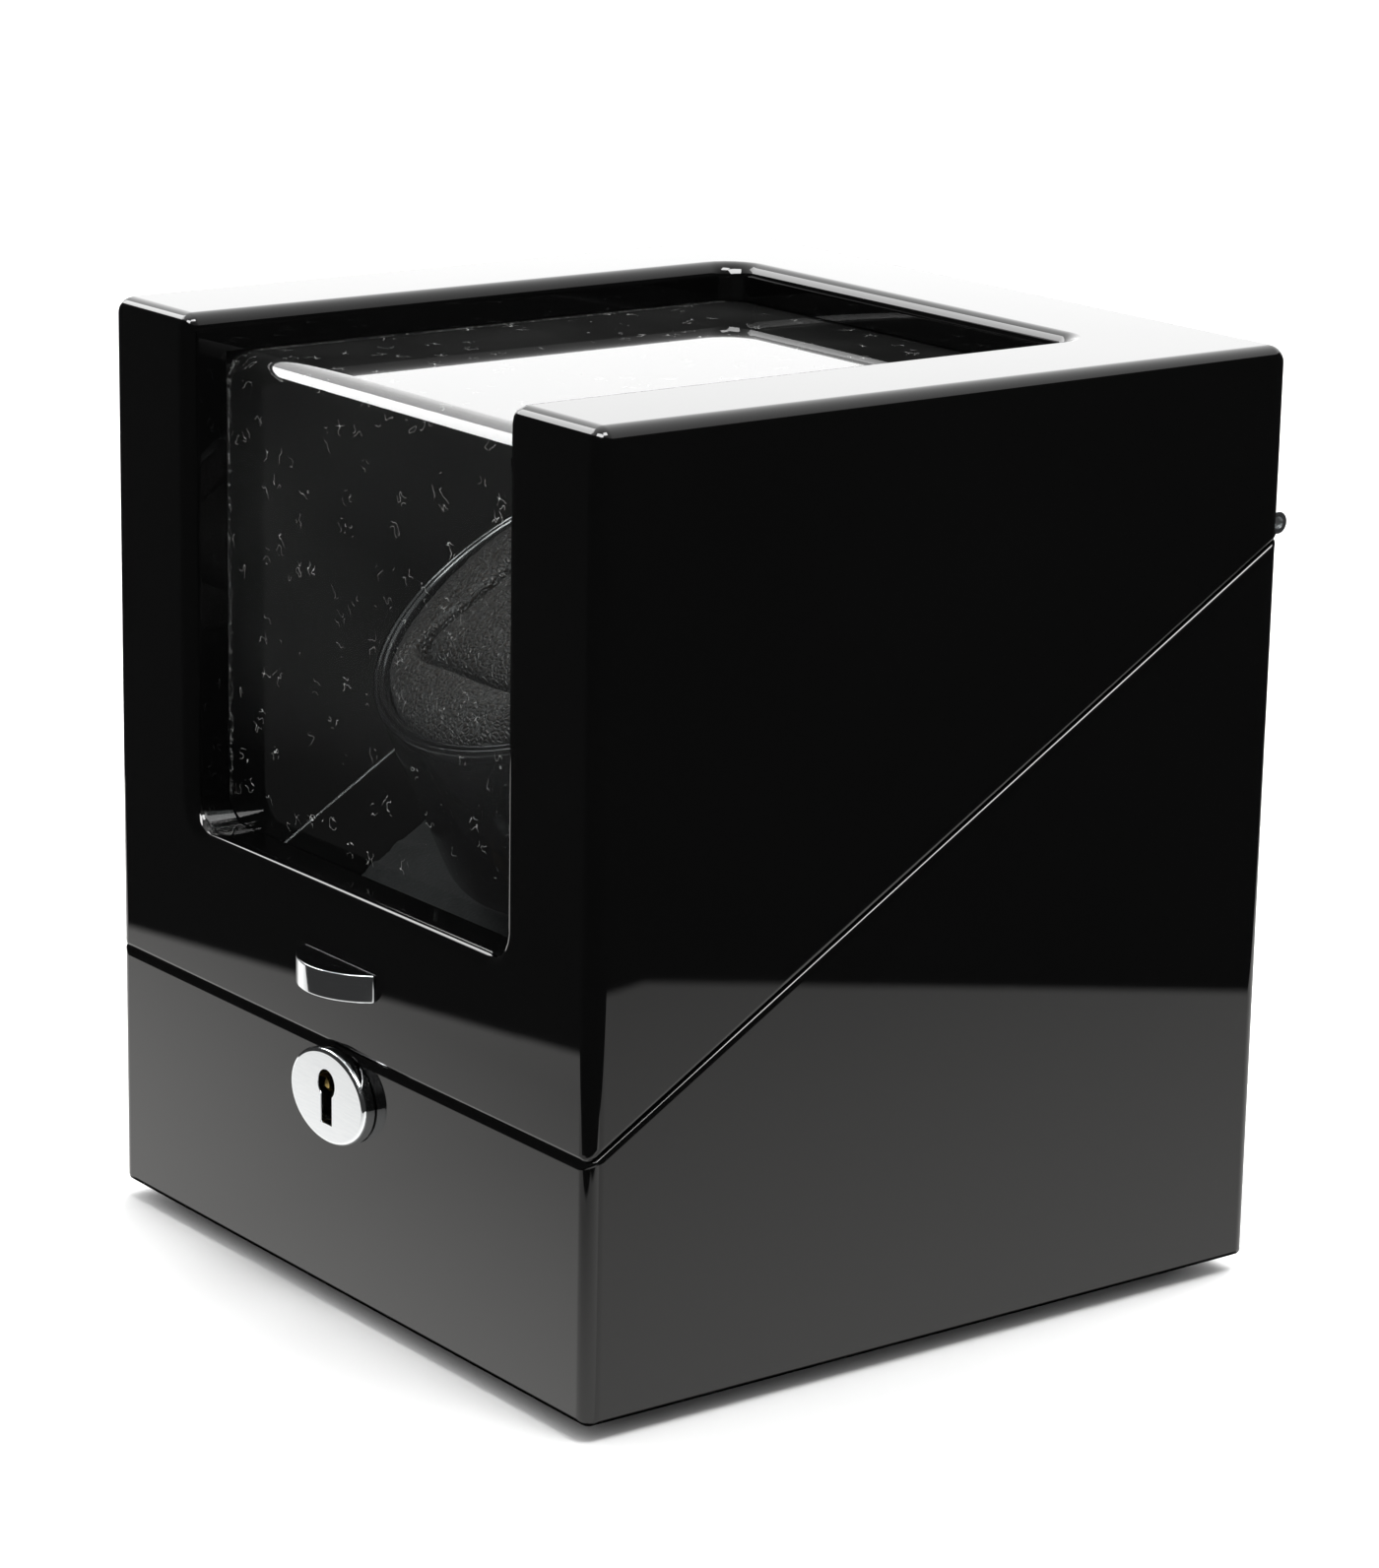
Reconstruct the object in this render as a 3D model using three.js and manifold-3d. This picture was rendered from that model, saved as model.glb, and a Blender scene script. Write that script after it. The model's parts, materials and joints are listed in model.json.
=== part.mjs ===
// A single watch winder box. A lacquered case is cut in two by a seam plane that slopes up to the
// back. The upper half is a hinged lid with a bent window over its front and top. In the lower half a
// drum, square to the seam, is turned by a geared motor and a belt, and holds the watch cushion.
// Millimetres, +Z up, front facing -Y, origin on the surface that the feet stand on, in the middle.
import * as THREE from "three";
import { mergeVertices } from "three/addons/utils/BufferGeometryUtils.js";
import Module from "manifold-3d";

const wasm = await Module();
wasm.setup();

// ---- Driving dimensions -------------------------------------------------------------------------

const CLEARANCE = 0.3; // between pieces that touch
const RUNNING = 0.08; // radial, between a shaft or pin and its bore

const CASE_WIDTH = 170;
const CASE_DEPTH = 168;
const CASE_HEIGHT = 190; // without the feet
const SIDE_WALL = 11;
const BACK_WALL = 11;
const FRONT_WALL = 9.4;
const TOP_PANEL = 8;
const EDGE_RADIUS = 3.4;
const INNER_RADIUS = 1.2; // of the cavity's corners
const SEAM_RADIUS = 1.2;
const UNDER_RADIUS = 1.5; // of the edges round the underside
const SEAM_TILT = THREE.MathUtils.degToRad(30.76);
const SEAM_MID = 101.8; // height of the seam at mid depth, above the case's underside
const SEAM_GAP = 0.3;

const FOOT_HEIGHT = 3.5;
const FOOT_RADIUS = 8;
const FOOT_INSET = 14.7;
const FLOOR_THICKNESS = 5;
const FLOOR_REBATE = 7;
const SCREW_RADIUS = 1.6;
const FLOOR_SCREW_INSET = 34; // from the hollow's front and back to the floor's screws

const WINDOW_BORDER = 29;
const WINDOW_BACK_BORDER = 30.5;
const WINDOW_LEDGE = 84.5; // height of the window's lower edge above the case's underside
const WINDOW_CORNER = 6;
const WINDOW_EASE = 3; // rounding of the opening's outer edge
const PANE_THICKNESS = 3;
const PANE_MARGIN = 8; // how far the pane runs behind the borders
const PANE_BEND = 7;

const PULL_WIDTH = 26;
const PULL_PROJECTION = 7;
const PULL_THICKNESS = 5.7;
const PULL_HEIGHT = 67.4; // centre, above the case's underside

const PLATE_WIDTH = 26.8; // the keyhole plate
const PLATE_HEIGHT = 19.4;
const PLATE_THICKNESS = 3;
const PLATE_DROP = 9.4; // from the seam at the front face to the plate's centre
const KEYHOLE_RADIUS = 3;
const KEYHOLE_SLOT = 3.8;
const KEYHOLE_LENGTH = 11.2;

const KNUCKLE_RADIUS = 2.3;
const KNUCKLE_COUNT = 13;
const PIN_RADIUS = 1.2;
const LEAF_THICKNESS = 0.8;
const LEAF_WIDTH = 11;
const HINGE_END_GAP = 4; // from the side of the case to the end of the hinge

const DECK_DROP = 20; // from the seam plane down to the deck, square to it
const DECK_THICKNESS = 5;
const LINING_THICKNESS = 0.8;
const CLEAT_SIZE = 8;

const DRUM_OFFSET = -3.5; // along the slope, from mid depth
const DRUM_RIM_RADIUS = 48;
const DRUM_FOOT_RADIUS = 51.5;
const DRUM_HEIGHT = 41.5;
const DRUM_WALL = 2.6;
const DRUM_FLOOR = 3.5;
const DRUM_LIFT = 0.5; // underside of the drum above the seam plane
const PLINTH_RADIUS = 42;
const PLINTH_WALL = 3;
const SHAFT_RADIUS = 3;
const BUSH_WALL = 2;

const CUSHION_WIDTH = 50;
const CUSHION_LENGTH = 60;
const CUSHION_HEIGHT = 29;
const CUSHION_RADIUS = 11;
const CUSHION_FIT = 0.6;
const WELL_DEPTH = 24; // below the rim

const DRUM_PULLEY_RADIUS = 28; // to the middle of the belt
const MOTOR_PULLEY_RADIUS = 5.6;
const BELT_RADIUS = 1.25;
const PULLEY_WIDTH = 7;
const PULLEY_DROP = 4; // from the deck's underside to the pulleys
const BELT_CENTRES = 42;
const MOTOR_PLATE_THICKNESS = 1.5;
const PLATE_MARGIN = 8; // of the motor plate, past the posts and the gearbox
const POST_RADIUS = 3.2;
const POST_REACH = 34; // from the drum's axis to the two far posts
const POST_SPREAD = 24;
const GEARBOX_RADIUS = 12.5;
const GEARBOX_LENGTH = 19;
const MOTOR_RADIUS = 12;
const MOTOR_LENGTH = 28;
const MOTOR_SHAFT_RADIUS = 2;

const PANEL_WIDTH = 64; // the control panel on the back
const PANEL_HEIGHT = 34;
const PANEL_THICKNESS = 2.4;
const PANEL_CENTRE = 46; // above the case's underside
const KNOB_RADIUS = 6;
const KNOB_LENGTH = 4.5;
const JACK_RADIUS = 3.2;
const SWITCH_TRAVEL = 3; // each way

// ---- Derived places -----------------------------------------------------------------------------

const TILT_COS = Math.cos(SEAM_TILT);
const TILT_SIN = Math.sin(SEAM_TILT);
const TILT_TAN = Math.tan(SEAM_TILT);
const FRONT = -CASE_DEPTH / 2;
const BACK = CASE_DEPTH / 2;
const INNER_FRONT = FRONT + FRONT_WALL;
const INNER_BACK = BACK - BACK_WALL;
const INNER_SIDE = CASE_WIDTH / 2 - SIDE_WALL;
const CEILING = CASE_HEIGHT - TOP_PANEL;
const WINDOW_HALF = CASE_WIDTH / 2 - WINDOW_BORDER;
const WINDOW_BACK = BACK - WINDOW_BACK_BORDER;
const seamHeight = (y) => SEAM_MID + TILT_TAN * y;
// Places on the tilted frame: v runs up the slope and w stands square on the seam plane.
const slopeAt = (y, w = 0) => (y + w * TILT_SIN) / TILT_COS;
const HINGE_SLOPE = slopeAt(BACK) + (KNUCKLE_RADIUS + CLEARANCE) / TILT_COS;
const HINGE_PROJECTION = HINGE_SLOPE * TILT_COS + KNUCKLE_RADIUS - BACK;
const PLATE_CENTRE = seamHeight(FRONT) - PLATE_DROP;

// ---- Geometry helpers ---------------------------------------------------------------------------

const SIDES = 16; // of a small round piece
const DRUM_SIDES = 32;

const place = (geometry, x = 0, y = 0, z = 0) => geometry.translate(x, y, z);
const alongX = (geometry) => geometry.rotateZ(-Math.PI / 2);
const alongZ = (geometry) => geometry.rotateX(Math.PI / 2);

function solidOf(geometry) {
  const bare = geometry.clone();
  bare.deleteAttribute("normal");
  bare.deleteAttribute("uv");
  const merged = mergeVertices(bare, 1e-4);
  return new wasm.Manifold(
    new wasm.Mesh({
      numProp: 3,
      vertProperties: merged.attributes.position.array,
      triVerts: new Uint32Array(merged.index.array),
    }),
  );
}

function geometryOf(solid) {
  const mesh = solid.getMesh();
  const geometry = new THREE.BufferGeometry();
  geometry.setAttribute("position",
    new THREE.BufferAttribute(new Float32Array(mesh.vertProperties), 3));
  geometry.setIndex(new THREE.BufferAttribute(new Uint32Array(mesh.triVerts), 1));
  return geometry;
}

const cut = (geometry, ...tools) =>
  geometryOf(tools.reduce((solid, tool) => solid.subtract(solidOf(tool)), solidOf(geometry)));
const join = (geometry, ...others) =>
  geometryOf(others.reduce((solid, other) => solid.add(solidOf(other)), solidOf(geometry)));

const box = (x0, x1, y0, y1, z0, z1) =>
  place(new THREE.BoxGeometry(x1 - x0, y1 - y0, z1 - z0), (x0 + x1) / 2, (y0 + y1) / 2, (z0 + z1) / 2);

// A round bar along +Z from z0 to z1.
const rod = (radius, z0, z1, x = 0, y = 0, sides = SIDES) =>
  place(alongZ(new THREE.CylinderGeometry(radius, radius, z1 - z0, sides)), x, y, (z0 + z1) / 2);

// A turned piece about +Z from [radius, height] points.
const turned = (points, sides = SIDES) =>
  alongZ(new THREE.LatheGeometry(points.map(([r, z]) => new THREE.Vector2(r, z)), sides));

// A turned ring, whose profile closes on itself. Its points run anticlockwise.
const turnedRing = (points, sides = SIDES) => turned([...points, points[0]], sides);

// A closed body through rings of points, [x, y, z], all of one length. It is capped at both ends,
// or joined end to end where closed is true.
function loft(rings, closed = false) {
  const count = rings[0].length;
  const index = [];
  const spans = closed ? rings.length : rings.length - 1;
  for (let i = 0; i < spans; i++) {
    const here = i * count;
    const next = ((i + 1) % rings.length) * count;
    for (let k = 0; k < count; k++) {
      const turn = (k + 1) % count;
      index.push(here + k, here + turn, next + turn, here + k, next + turn, next + k);
    }
  }
  if (!closed) {
    const last = (rings.length - 1) * count;
    for (let k = 1; k < count - 1; k++) {
      index.push(0, k + 1, k, last, last + k, last + k + 1);
    }
  }
  const geometry = new THREE.BufferGeometry();
  geometry.setAttribute("position", new THREE.Float32BufferAttribute(rings.flat(2), 3));
  geometry.setIndex(index);
  return geometry;
}

// A rectangle with round corners, anticlockwise, as [x, y] points.
function roundRectangle(x0, x1, y0, y1, radius, steps = 4) {
  const r = Math.max(0.05, Math.min(radius, (x1 - x0) / 2 - 0.01, (y1 - y0) / 2 - 0.01));
  const corners = [[x1 - r, y1 - r], [x0 + r, y1 - r], [x0 + r, y0 + r], [x1 - r, y0 + r]];
  return corners.flatMap(([cx, cy], quarter) =>
    Array.from({ length: steps + 1 }, (_, i) => {
      const angle = (quarter + i / steps) * (Math.PI / 2);
      return [cx + r * Math.cos(angle), cy + r * Math.sin(angle)];
    }),
  );
}

const shapeOf = (points) => new THREE.Shape(points.map(([x, y]) => new THREE.Vector2(x, y)));
const extrude = (points, depth, options = {}) =>
  new THREE.ExtrudeGeometry(shapeOf(points), { depth, bevelEnabled: false, ...options });

// A prism along X from a profile of [y, z] points.
const prismX = (points, x0, x1) =>
  place(extrude(points, x1 - x0).rotateX(Math.PI / 2).rotateZ(Math.PI / 2), x0, 0, 0);

// A countersunk screw down from z = 0: its head's rim is at the top.
const screwGeometry = (radius, length, sides = 12) =>
  turned([[0, -length], [radius * 0.6, -length], [radius, -length + radius], [radius, -radius],
    [radius * 2, 0], [0, 0]], sides);

function mesh(name, geometry, material) {
  const node = new THREE.Mesh(geometry, material);
  node.name = name;
  return node;
}

// ---- Materials ----------------------------------------------------------------------------------

const finish = (color, roughness, metalness = 0) => () =>
  new THREE.MeshStandardMaterial({ color, roughness, metalness });
const lacquer = finish(0x0b0b0c, 0.05);
const glossBlack = finish(0x101012, 0.15);
const mattBlack = finish(0x1b1b1c, 0.6);
const rubber = finish(0x161616, 0.85);
const leather = finish(0x1d1a18, 0.5);
const velvet = finish(0x1a1a1c, 0.95);
const chrome = finish(0xd8dadc, 0.06, 1);
const steel = finish(0x9a9c9e, 0.35, 1);
const brass = finish(0xb59a5a, 0.35, 1);
const wood = finish(0x8a6a48, 0.7);
const board = finish(0x2f5a3a, 0.5);
const acrylic = () =>
  new THREE.MeshStandardMaterial({ color: 0xe8eef0, roughness: 0.03, transparent: true, opacity: 0.2 });

// ---- Frames -------------------------------------------------------------------------------------

// The case's own frame has its origin on the case's underside, at mid width and mid depth. The
// part's origin is on the surface below the feet, under the middle of everything that sticks out.
const winder = new THREE.Group();
winder.position.set(0, (PULL_PROJECTION - HINGE_PROJECTION) / 2, FOOT_HEIGHT);

const slope = new THREE.Group();
slope.position.set(0, 0, SEAM_MID);
slope.rotation.x = SEAM_TILT;
winder.add(slope);

const drive = new THREE.Group();
drive.position.set(0, DRUM_OFFSET, 0);
slope.add(drive);

// Takes a tool drawn in the tilted frame into the case's frame.
const fromSlope = (geometry) => place(geometry.rotateX(SEAM_TILT), 0, 0, SEAM_MID);

// ---- Case shells --------------------------------------------------------------------------------

// One ring of the case's wall: inset from the outside, or the cavity's outline, at a height that
// may depend on y.
const outerRing = (inset, height) =>
  roundRectangle(-CASE_WIDTH / 2 + inset, CASE_WIDTH / 2 - inset, FRONT + inset, BACK - inset,
    EDGE_RADIUS - inset * 0.9).map(([x, y]) => [x, y, height(y)]);
const innerRing = (grow, height) =>
  roundRectangle(-INNER_SIDE - grow, INNER_SIDE + grow, INNER_FRONT - grow, INNER_BACK + grow,
    INNER_RADIUS)
    .map(([x, y]) => [x, y, height(y)]);
const level = (z) => () => z;
const seamBelow = (drop) => (y) => seamHeight(y) - SEAM_GAP / 2 / TILT_COS - drop;
const seamAbove = (rise) => (y) => seamHeight(y) + SEAM_GAP / 2 / TILT_COS + rise;

// A quarter round as [inset, drop] steps, from flush with the side to flush with the end.
const quarterRound = (radius, steps) =>
  Array.from({ length: steps + 1 }, (_, i) => {
    const angle = (i / steps) * (Math.PI / 2);
    return [radius * (1 - Math.cos(angle)), radius * (1 - Math.sin(angle))];
  });

const HINGE_HALF = CASE_WIDTH / 2 - HINGE_END_GAP;
const LEAF_START = slopeAt(BACK) - LEAF_WIDTH;
const LEAF_REBATE = SEAM_GAP / 2 + LEAF_THICKNESS + CLEARANCE;
const leafRebate = (w0, w1) =>
  fromSlope(box(-HINGE_HALF - CLEARANCE, HINGE_HALF + CLEARANCE, LEAF_START - CLEARANCE,
    HINGE_SLOPE + 9, w0, w1));
const hingeScrewPlaces = [-0.8, 0, 0.8].map((share) => share * HINGE_HALF);
const HINGE_SCREW_SLOPE = slopeAt(BACK - BACK_WALL / 2);
const HINGE_SCREW_RADIUS = 0.9;
const HINGE_SCREW_LENGTH = 6;
const hingePilots = (w0, w1) =>
  hingeScrewPlaces.map((x) =>
    fromSlope(rod(HINGE_SCREW_RADIUS + CLEARANCE, w0, w1, x, HINGE_SCREW_SLOPE, 12)));

// Lock sizes and places, shared by the case, the lock and its staple.
const LOCK_HALF = 22;
const LOCK_TOP = seamHeight(FRONT) + 0.2;
const LOCK_HEIGHT = 19.5;
const LOCK_FRONT = FRONT + 2.8;
const LOCK_DEPTH = 12;
const LOCK_WALL = 1;
const TONGUE_X = 11;
const TONGUE_THICKNESS = 2;
const TONGUE_WIDTH = 4.2;
const TONGUE_DEPTH = 11;
const TONGUE_SLOPE = slopeAt(FRONT) + 6.3;
const EYE = 3;
const EYE_DROP = 8;
const keyholePoints = (grow) => {
  const head = KEYHOLE_RADIUS + grow;
  const half = KEYHOLE_SLOT / 2 + grow;
  const centre = PLATE_CENTRE + KEYHOLE_LENGTH / 2 - KEYHOLE_RADIUS;
  const foot = PLATE_CENTRE - KEYHOLE_LENGTH / 2 - grow;
  const start = -Math.acos(half / head);
  const sweep = Math.PI - 2 * start;
  const arc = Array.from({ length: 17 }, (_, i) => {
    const angle = start + (sweep * i) / 16;
    return [head * Math.cos(angle), centre + head * Math.sin(angle)];
  });
  return [...arc, [-half, foot], [half, foot]];
};
// A prism along Y from a profile of [x, z] points.
const prismY = (points, y0, y1) => place(extrude(points, y1 - y0).rotateX(Math.PI / 2), 0, y1, 0);

const floorScrewPlaces = [[-1, -1], [1, -1], [-1, 1], [1, 1]].map(([sx, sy]) => [
  sx * (INNER_SIDE + FLOOR_REBATE / 2),
  sy < 0 ? INNER_FRONT + FLOOR_SCREW_INSET : INNER_BACK - FLOOR_SCREW_INSET,
]);

function baseShell() {
  const rings = [
    ...quarterRound(UNDER_RADIUS, 2).reverse().map(([inset, rise]) => outerRing(inset, level(rise))),
    ...quarterRound(SEAM_RADIUS, 3).map(([inset, drop]) => outerRing(inset, seamBelow(drop))),
    innerRing(0, seamBelow(0)),
    innerRing(0, level(FLOOR_THICKNESS + CLEARANCE)),
    innerRing(FLOOR_REBATE, level(FLOOR_THICKNESS + CLEARANCE)),
    innerRing(FLOOR_REBATE, level(0)),
  ];
  const lockPocket = box(-LOCK_HALF - CLEARANCE, LOCK_HALF + CLEARANCE, LOCK_FRONT - CLEARANCE,
    INNER_FRONT + 5,
    LOCK_TOP - LOCK_HEIGHT - CLEARANCE, LOCK_TOP + CLEARANCE);
  const tongueSlots = [-TONGUE_X, TONGUE_X].map((x) =>
    box(x - TONGUE_THICKNESS / 2 - 1, x + TONGUE_THICKNESS / 2 + 1, LOCK_FRONT, INNER_FRONT + 5,
      LOCK_TOP, LOCK_TOP + 12));
  const panelRebate = box(-PANEL_WIDTH / 2 - CLEARANCE, PANEL_WIDTH / 2 + CLEARANCE,
    BACK - PANEL_THICKNESS - CLEARANCE,
    BACK + 1, PANEL_CENTRE - PANEL_HEIGHT / 2 - CLEARANCE, PANEL_CENTRE + PANEL_HEIGHT / 2 + CLEARANCE);
  const panelOpening = box(-PANEL_WIDTH / 2 + 6, PANEL_WIDTH / 2 - 6, INNER_BACK - 1, BACK,
    PANEL_CENTRE - PANEL_HEIGHT / 2 + 4, PANEL_CENTRE + PANEL_HEIGHT / 2 - 4);
  const floorPilots = floorScrewPlaces.map(([x, y]) =>
    rod(SCREW_RADIUS + CLEARANCE, FLOOR_THICKNESS, FLOOR_THICKNESS + 14, x, y, 12));
  return cut(loft(rings, true), lockPocket, ...tongueSlots,
    prismY(keyholePoints(CLEARANCE), FRONT - 1, LOCK_FRONT + 1),
    panelRebate, panelOpening, leafRebate(-LEAF_REBATE,
      SEAM_GAP), ...hingePilots(-HINGE_SCREW_LENGTH - 1, 0), ...floorPilots);
}

// The window's cutter through one panel. Its mouth opens out by a quarter round at the face.
function windowCutter(x0, x1, y0, y1, inside, face) {
  const outline = (grow, z) =>
    roundRectangle(x0 - grow, x1 + grow, y0 - grow, y1 + grow, WINDOW_CORNER + grow,
      5).map(([x, y]) => [x, y, z]);
  const flare = quarterRound(WINDOW_EASE, 4).map(([grow, drop]) => outline(grow, face - drop));
  return loft([outline(0, inside), ...flare, outline(WINDOW_EASE, face + 2)]);
}

const PULL_SCREW_RADIUS = 1.5;
const STAPLE_HALF = 17;
const STAPLE_WIDTH = 7.4;
const STAPLE_THICKNESS = 1;

function lidShell() {
  const rings = [
    innerRing(0, level(CEILING)),
    innerRing(0, seamAbove(0)),
    ...quarterRound(SEAM_RADIUS, 3).reverse().map(([inset, drop]) => outerRing(inset, seamAbove(drop))),
    ...quarterRound(EDGE_RADIUS, 4).map(([inset, drop]) => outerRing(inset, level(CASE_HEIGHT - drop))),
  ];
  const beyond = 20;
  const topCutter = windowCutter(-WINDOW_HALF, WINDOW_HALF, FRONT - beyond, WINDOW_BACK, CEILING - 1,
    CASE_HEIGHT);
  // Drawn lying down with its face up, then stood up to face the front.
  const frontCutter = windowCutter(-WINDOW_HALF, WINDOW_HALF, WINDOW_LEDGE, CASE_HEIGHT + beyond,
    -INNER_FRONT - 1, -FRONT).rotateX(Math.PI / 2);
  const stapleRebate = fromSlope(box(-STAPLE_HALF - CLEARANCE, STAPLE_HALF + CLEARANCE,
    TONGUE_SLOPE - STAPLE_WIDTH / 2 - CLEARANCE,
    TONGUE_SLOPE + STAPLE_WIDTH / 2 + CLEARANCE, -1, SEAM_GAP / 2 + STAPLE_THICKNESS + CLEARANCE));
  const pullHole = prismY(circlePoints(PULL_SCREW_RADIUS + CLEARANCE, 0, PULL_HEIGHT, 12), FRONT - 1,
    INNER_FRONT + 1);
  return cut(loft(rings), topCutter, frontCutter, stapleRebate, pullHole,
    leafRebate(-SEAM_GAP, LEAF_REBATE), ...hingePilots(0, HINGE_SCREW_LENGTH + 1));
}

function circlePoints(radius, x, z, sides = SIDES) {
  return Array.from({ length: sides }, (_, i) => {
    const angle = (i / sides) * 2 * Math.PI;
    return [x + radius * Math.cos(angle), z + radius * Math.sin(angle)];
  });
}

// ---- Window, pull and keyhole plate -------------------------------------------------------------

// The pane is one bent sheet, glued behind the front panel and under the top panel.
function windowPane() {
  const frontFace = INNER_FRONT + CLEARANCE;
  const topFace = CEILING - CLEARANCE;
  const foot = WINDOW_LEDGE - PANE_MARGIN;
  const end = WINDOW_BACK + PANE_MARGIN;
  const centre = [frontFace + PANE_BEND, topFace - PANE_BEND];
  const bend = (radius) =>
    Array.from({ length: 7 }, (_, i) => {
      const angle = Math.PI - (i / 6) * (Math.PI / 2);
      return [centre[0] + radius * Math.cos(angle), centre[1] + radius * Math.sin(angle)];
    });
  const outside = [[frontFace, foot], ...bend(PANE_BEND), [end, topFace]];
  const inside = [[frontFace + PANE_THICKNESS, foot], ...bend(PANE_BEND - PANE_THICKNESS),
    [end, topFace - PANE_THICKNESS]];
  return prismX([...inside, ...outside.reverse()], -WINDOW_HALF - PANE_MARGIN,
    WINDOW_HALF + PANE_MARGIN);
}

// The pull is a flat slice of a disc, with its straight side on the lid.
function lidPull() {
  const half = PULL_WIDTH / 2;
  const radius = (half * half + PULL_PROJECTION * PULL_PROJECTION) / (2 * PULL_PROJECTION);
  const spread = Math.asin(half / radius);
  const centre = radius - PULL_PROJECTION;
  const bevel = 0.5;
  const arc = Array.from({ length: 25 }, (_, i) => {
    const angle = -Math.PI / 2 - spread + (i / 24) * 2 * spread;
    return [(radius - bevel) * Math.cos(angle), centre + (radius - bevel) * Math.sin(angle)];
  });
  const slice = extrude(arc, PULL_THICKNESS - 2 * bevel, {
    bevelEnabled: true, bevelSize: bevel, bevelThickness: bevel, bevelSegments: 2, steps: 1,
  });
  place(slice, 0, FRONT, PULL_HEIGHT - PULL_THICKNESS / 2 + bevel);
  const backFace = box(-PULL_WIDTH, PULL_WIDTH, FRONT - CLEARANCE / 3, FRONT + 10, PULL_HEIGHT - 10,
    PULL_HEIGHT + 10);
  const tapped = prismY(circlePoints(PULL_SCREW_RADIUS + CLEARANCE, 0, PULL_HEIGHT, 12),
    FRONT - PULL_PROJECTION + 2, FRONT + 1);
  return cut(slice, backFace, tapped);
}

// A round-headed screw along +Y, its head on the inside of the lid.
function pullScrew() {
  const length = FRONT_WALL + PULL_PROJECTION - 3;
  return place(turned([[0, 0], [PULL_SCREW_RADIUS, 0], [PULL_SCREW_RADIUS, length], [3, length],
    [2.4, length + 1.6],
    [0, length + 1.9]], 12).rotateX(-Math.PI / 2), 0, FRONT - PULL_PROJECTION + 3 + CLEARANCE, PULL_HEIGHT);
}

function keyholePlate() {
  const bevel = 0.8;
  const oval = shapeOf(Array.from({ length: 40 }, (_, i) => {
    const angle = (i / 40) * 2 * Math.PI;
    return [(PLATE_WIDTH / 2 - bevel) * Math.cos(angle), (PLATE_HEIGHT / 2 - bevel) * Math.sin(angle)];
  }));
  const domed = new THREE.ExtrudeGeometry(oval, {
    depth: PLATE_THICKNESS - bevel,
    bevelEnabled: true,
    bevelSize: bevel,
    bevelThickness: bevel,
    bevelSegments: 3,
  });
  place(domed.rotateX(Math.PI / 2), 0, FRONT - CLEARANCE / 3, PLATE_CENTRE);
  const back = box(-PLATE_WIDTH, PLATE_WIDTH, FRONT - CLEARANCE / 3, FRONT + 5, PLATE_CENTRE - 20,
    PLATE_CENTRE + 20);
  return cut(domed, back, prismY(keyholePoints(0), FRONT - PLATE_THICKNESS - 3, FRONT + 6));
}

winder.add(
  mesh("base_shell", baseShell(), lacquer()),
  mesh("lid_shell", lidShell(), lacquer()),
  mesh("window_pane", windowPane(), acrylic()),
  mesh("lid_pull", lidPull(), chrome()),
  mesh("pull_screw", pullScrew(), steel()),
  mesh("keyhole_plate", keyholePlate(), chrome()),
);

// ---- Bottom panel and feet ----------------------------------------------------------------------

function bottomPanel() {
  const grow = FLOOR_REBATE - CLEARANCE;
  const ring = (z) => innerRing(grow, level(z));
  const holes = floorScrewPlaces.map(([x, y]) => turned([[0, -1],
    [SCREW_RADIUS * 2 + CLEARANCE + 1, -1],
    [SCREW_RADIUS + CLEARANCE, SCREW_RADIUS], [SCREW_RADIUS + CLEARANCE, FLOOR_THICKNESS + 1],
    [0, FLOOR_THICKNESS + 1]], 12).translate(x, y, 0));
  return cut(loft([ring(0), ring(FLOOR_THICKNESS)]), ...holes);
}

winder.add(mesh("bottom_panel", bottomPanel(), mattBlack()));
floorScrewPlaces.forEach(([x, y], i) => {
  const screw = mesh(`bottom_screw_${i + 1}`, screwGeometry(SCREW_RADIUS, 16), steel());
  screw.rotation.x = Math.PI;
  screw.position.set(x, y, CLEARANCE);
  winder.add(screw);
});

const footNames = ["front_left", "front_right", "back_left", "back_right"];
footNames.forEach((corner, i) => {
  const side = i % 2 ? 1 : -1;
  const end = i < 2 ? -1 : 1;
  const top = -CLEARANCE / 3;
  const foot = mesh(`foot_${corner}`, turned([[0, -FOOT_HEIGHT], [FOOT_RADIUS - 1.2, -FOOT_HEIGHT],
    [FOOT_RADIUS - 0.5, -FOOT_HEIGHT + 0.6], [FOOT_RADIUS, top], [0, top]]), rubber());
  foot.position.set(side * (CASE_WIDTH / 2 - FOOT_INSET), end * (CASE_DEPTH / 2 - FOOT_INSET), 0);
  winder.add(foot);
});

// ---- Hinge --------------------------------------------------------------------------------------

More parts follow.
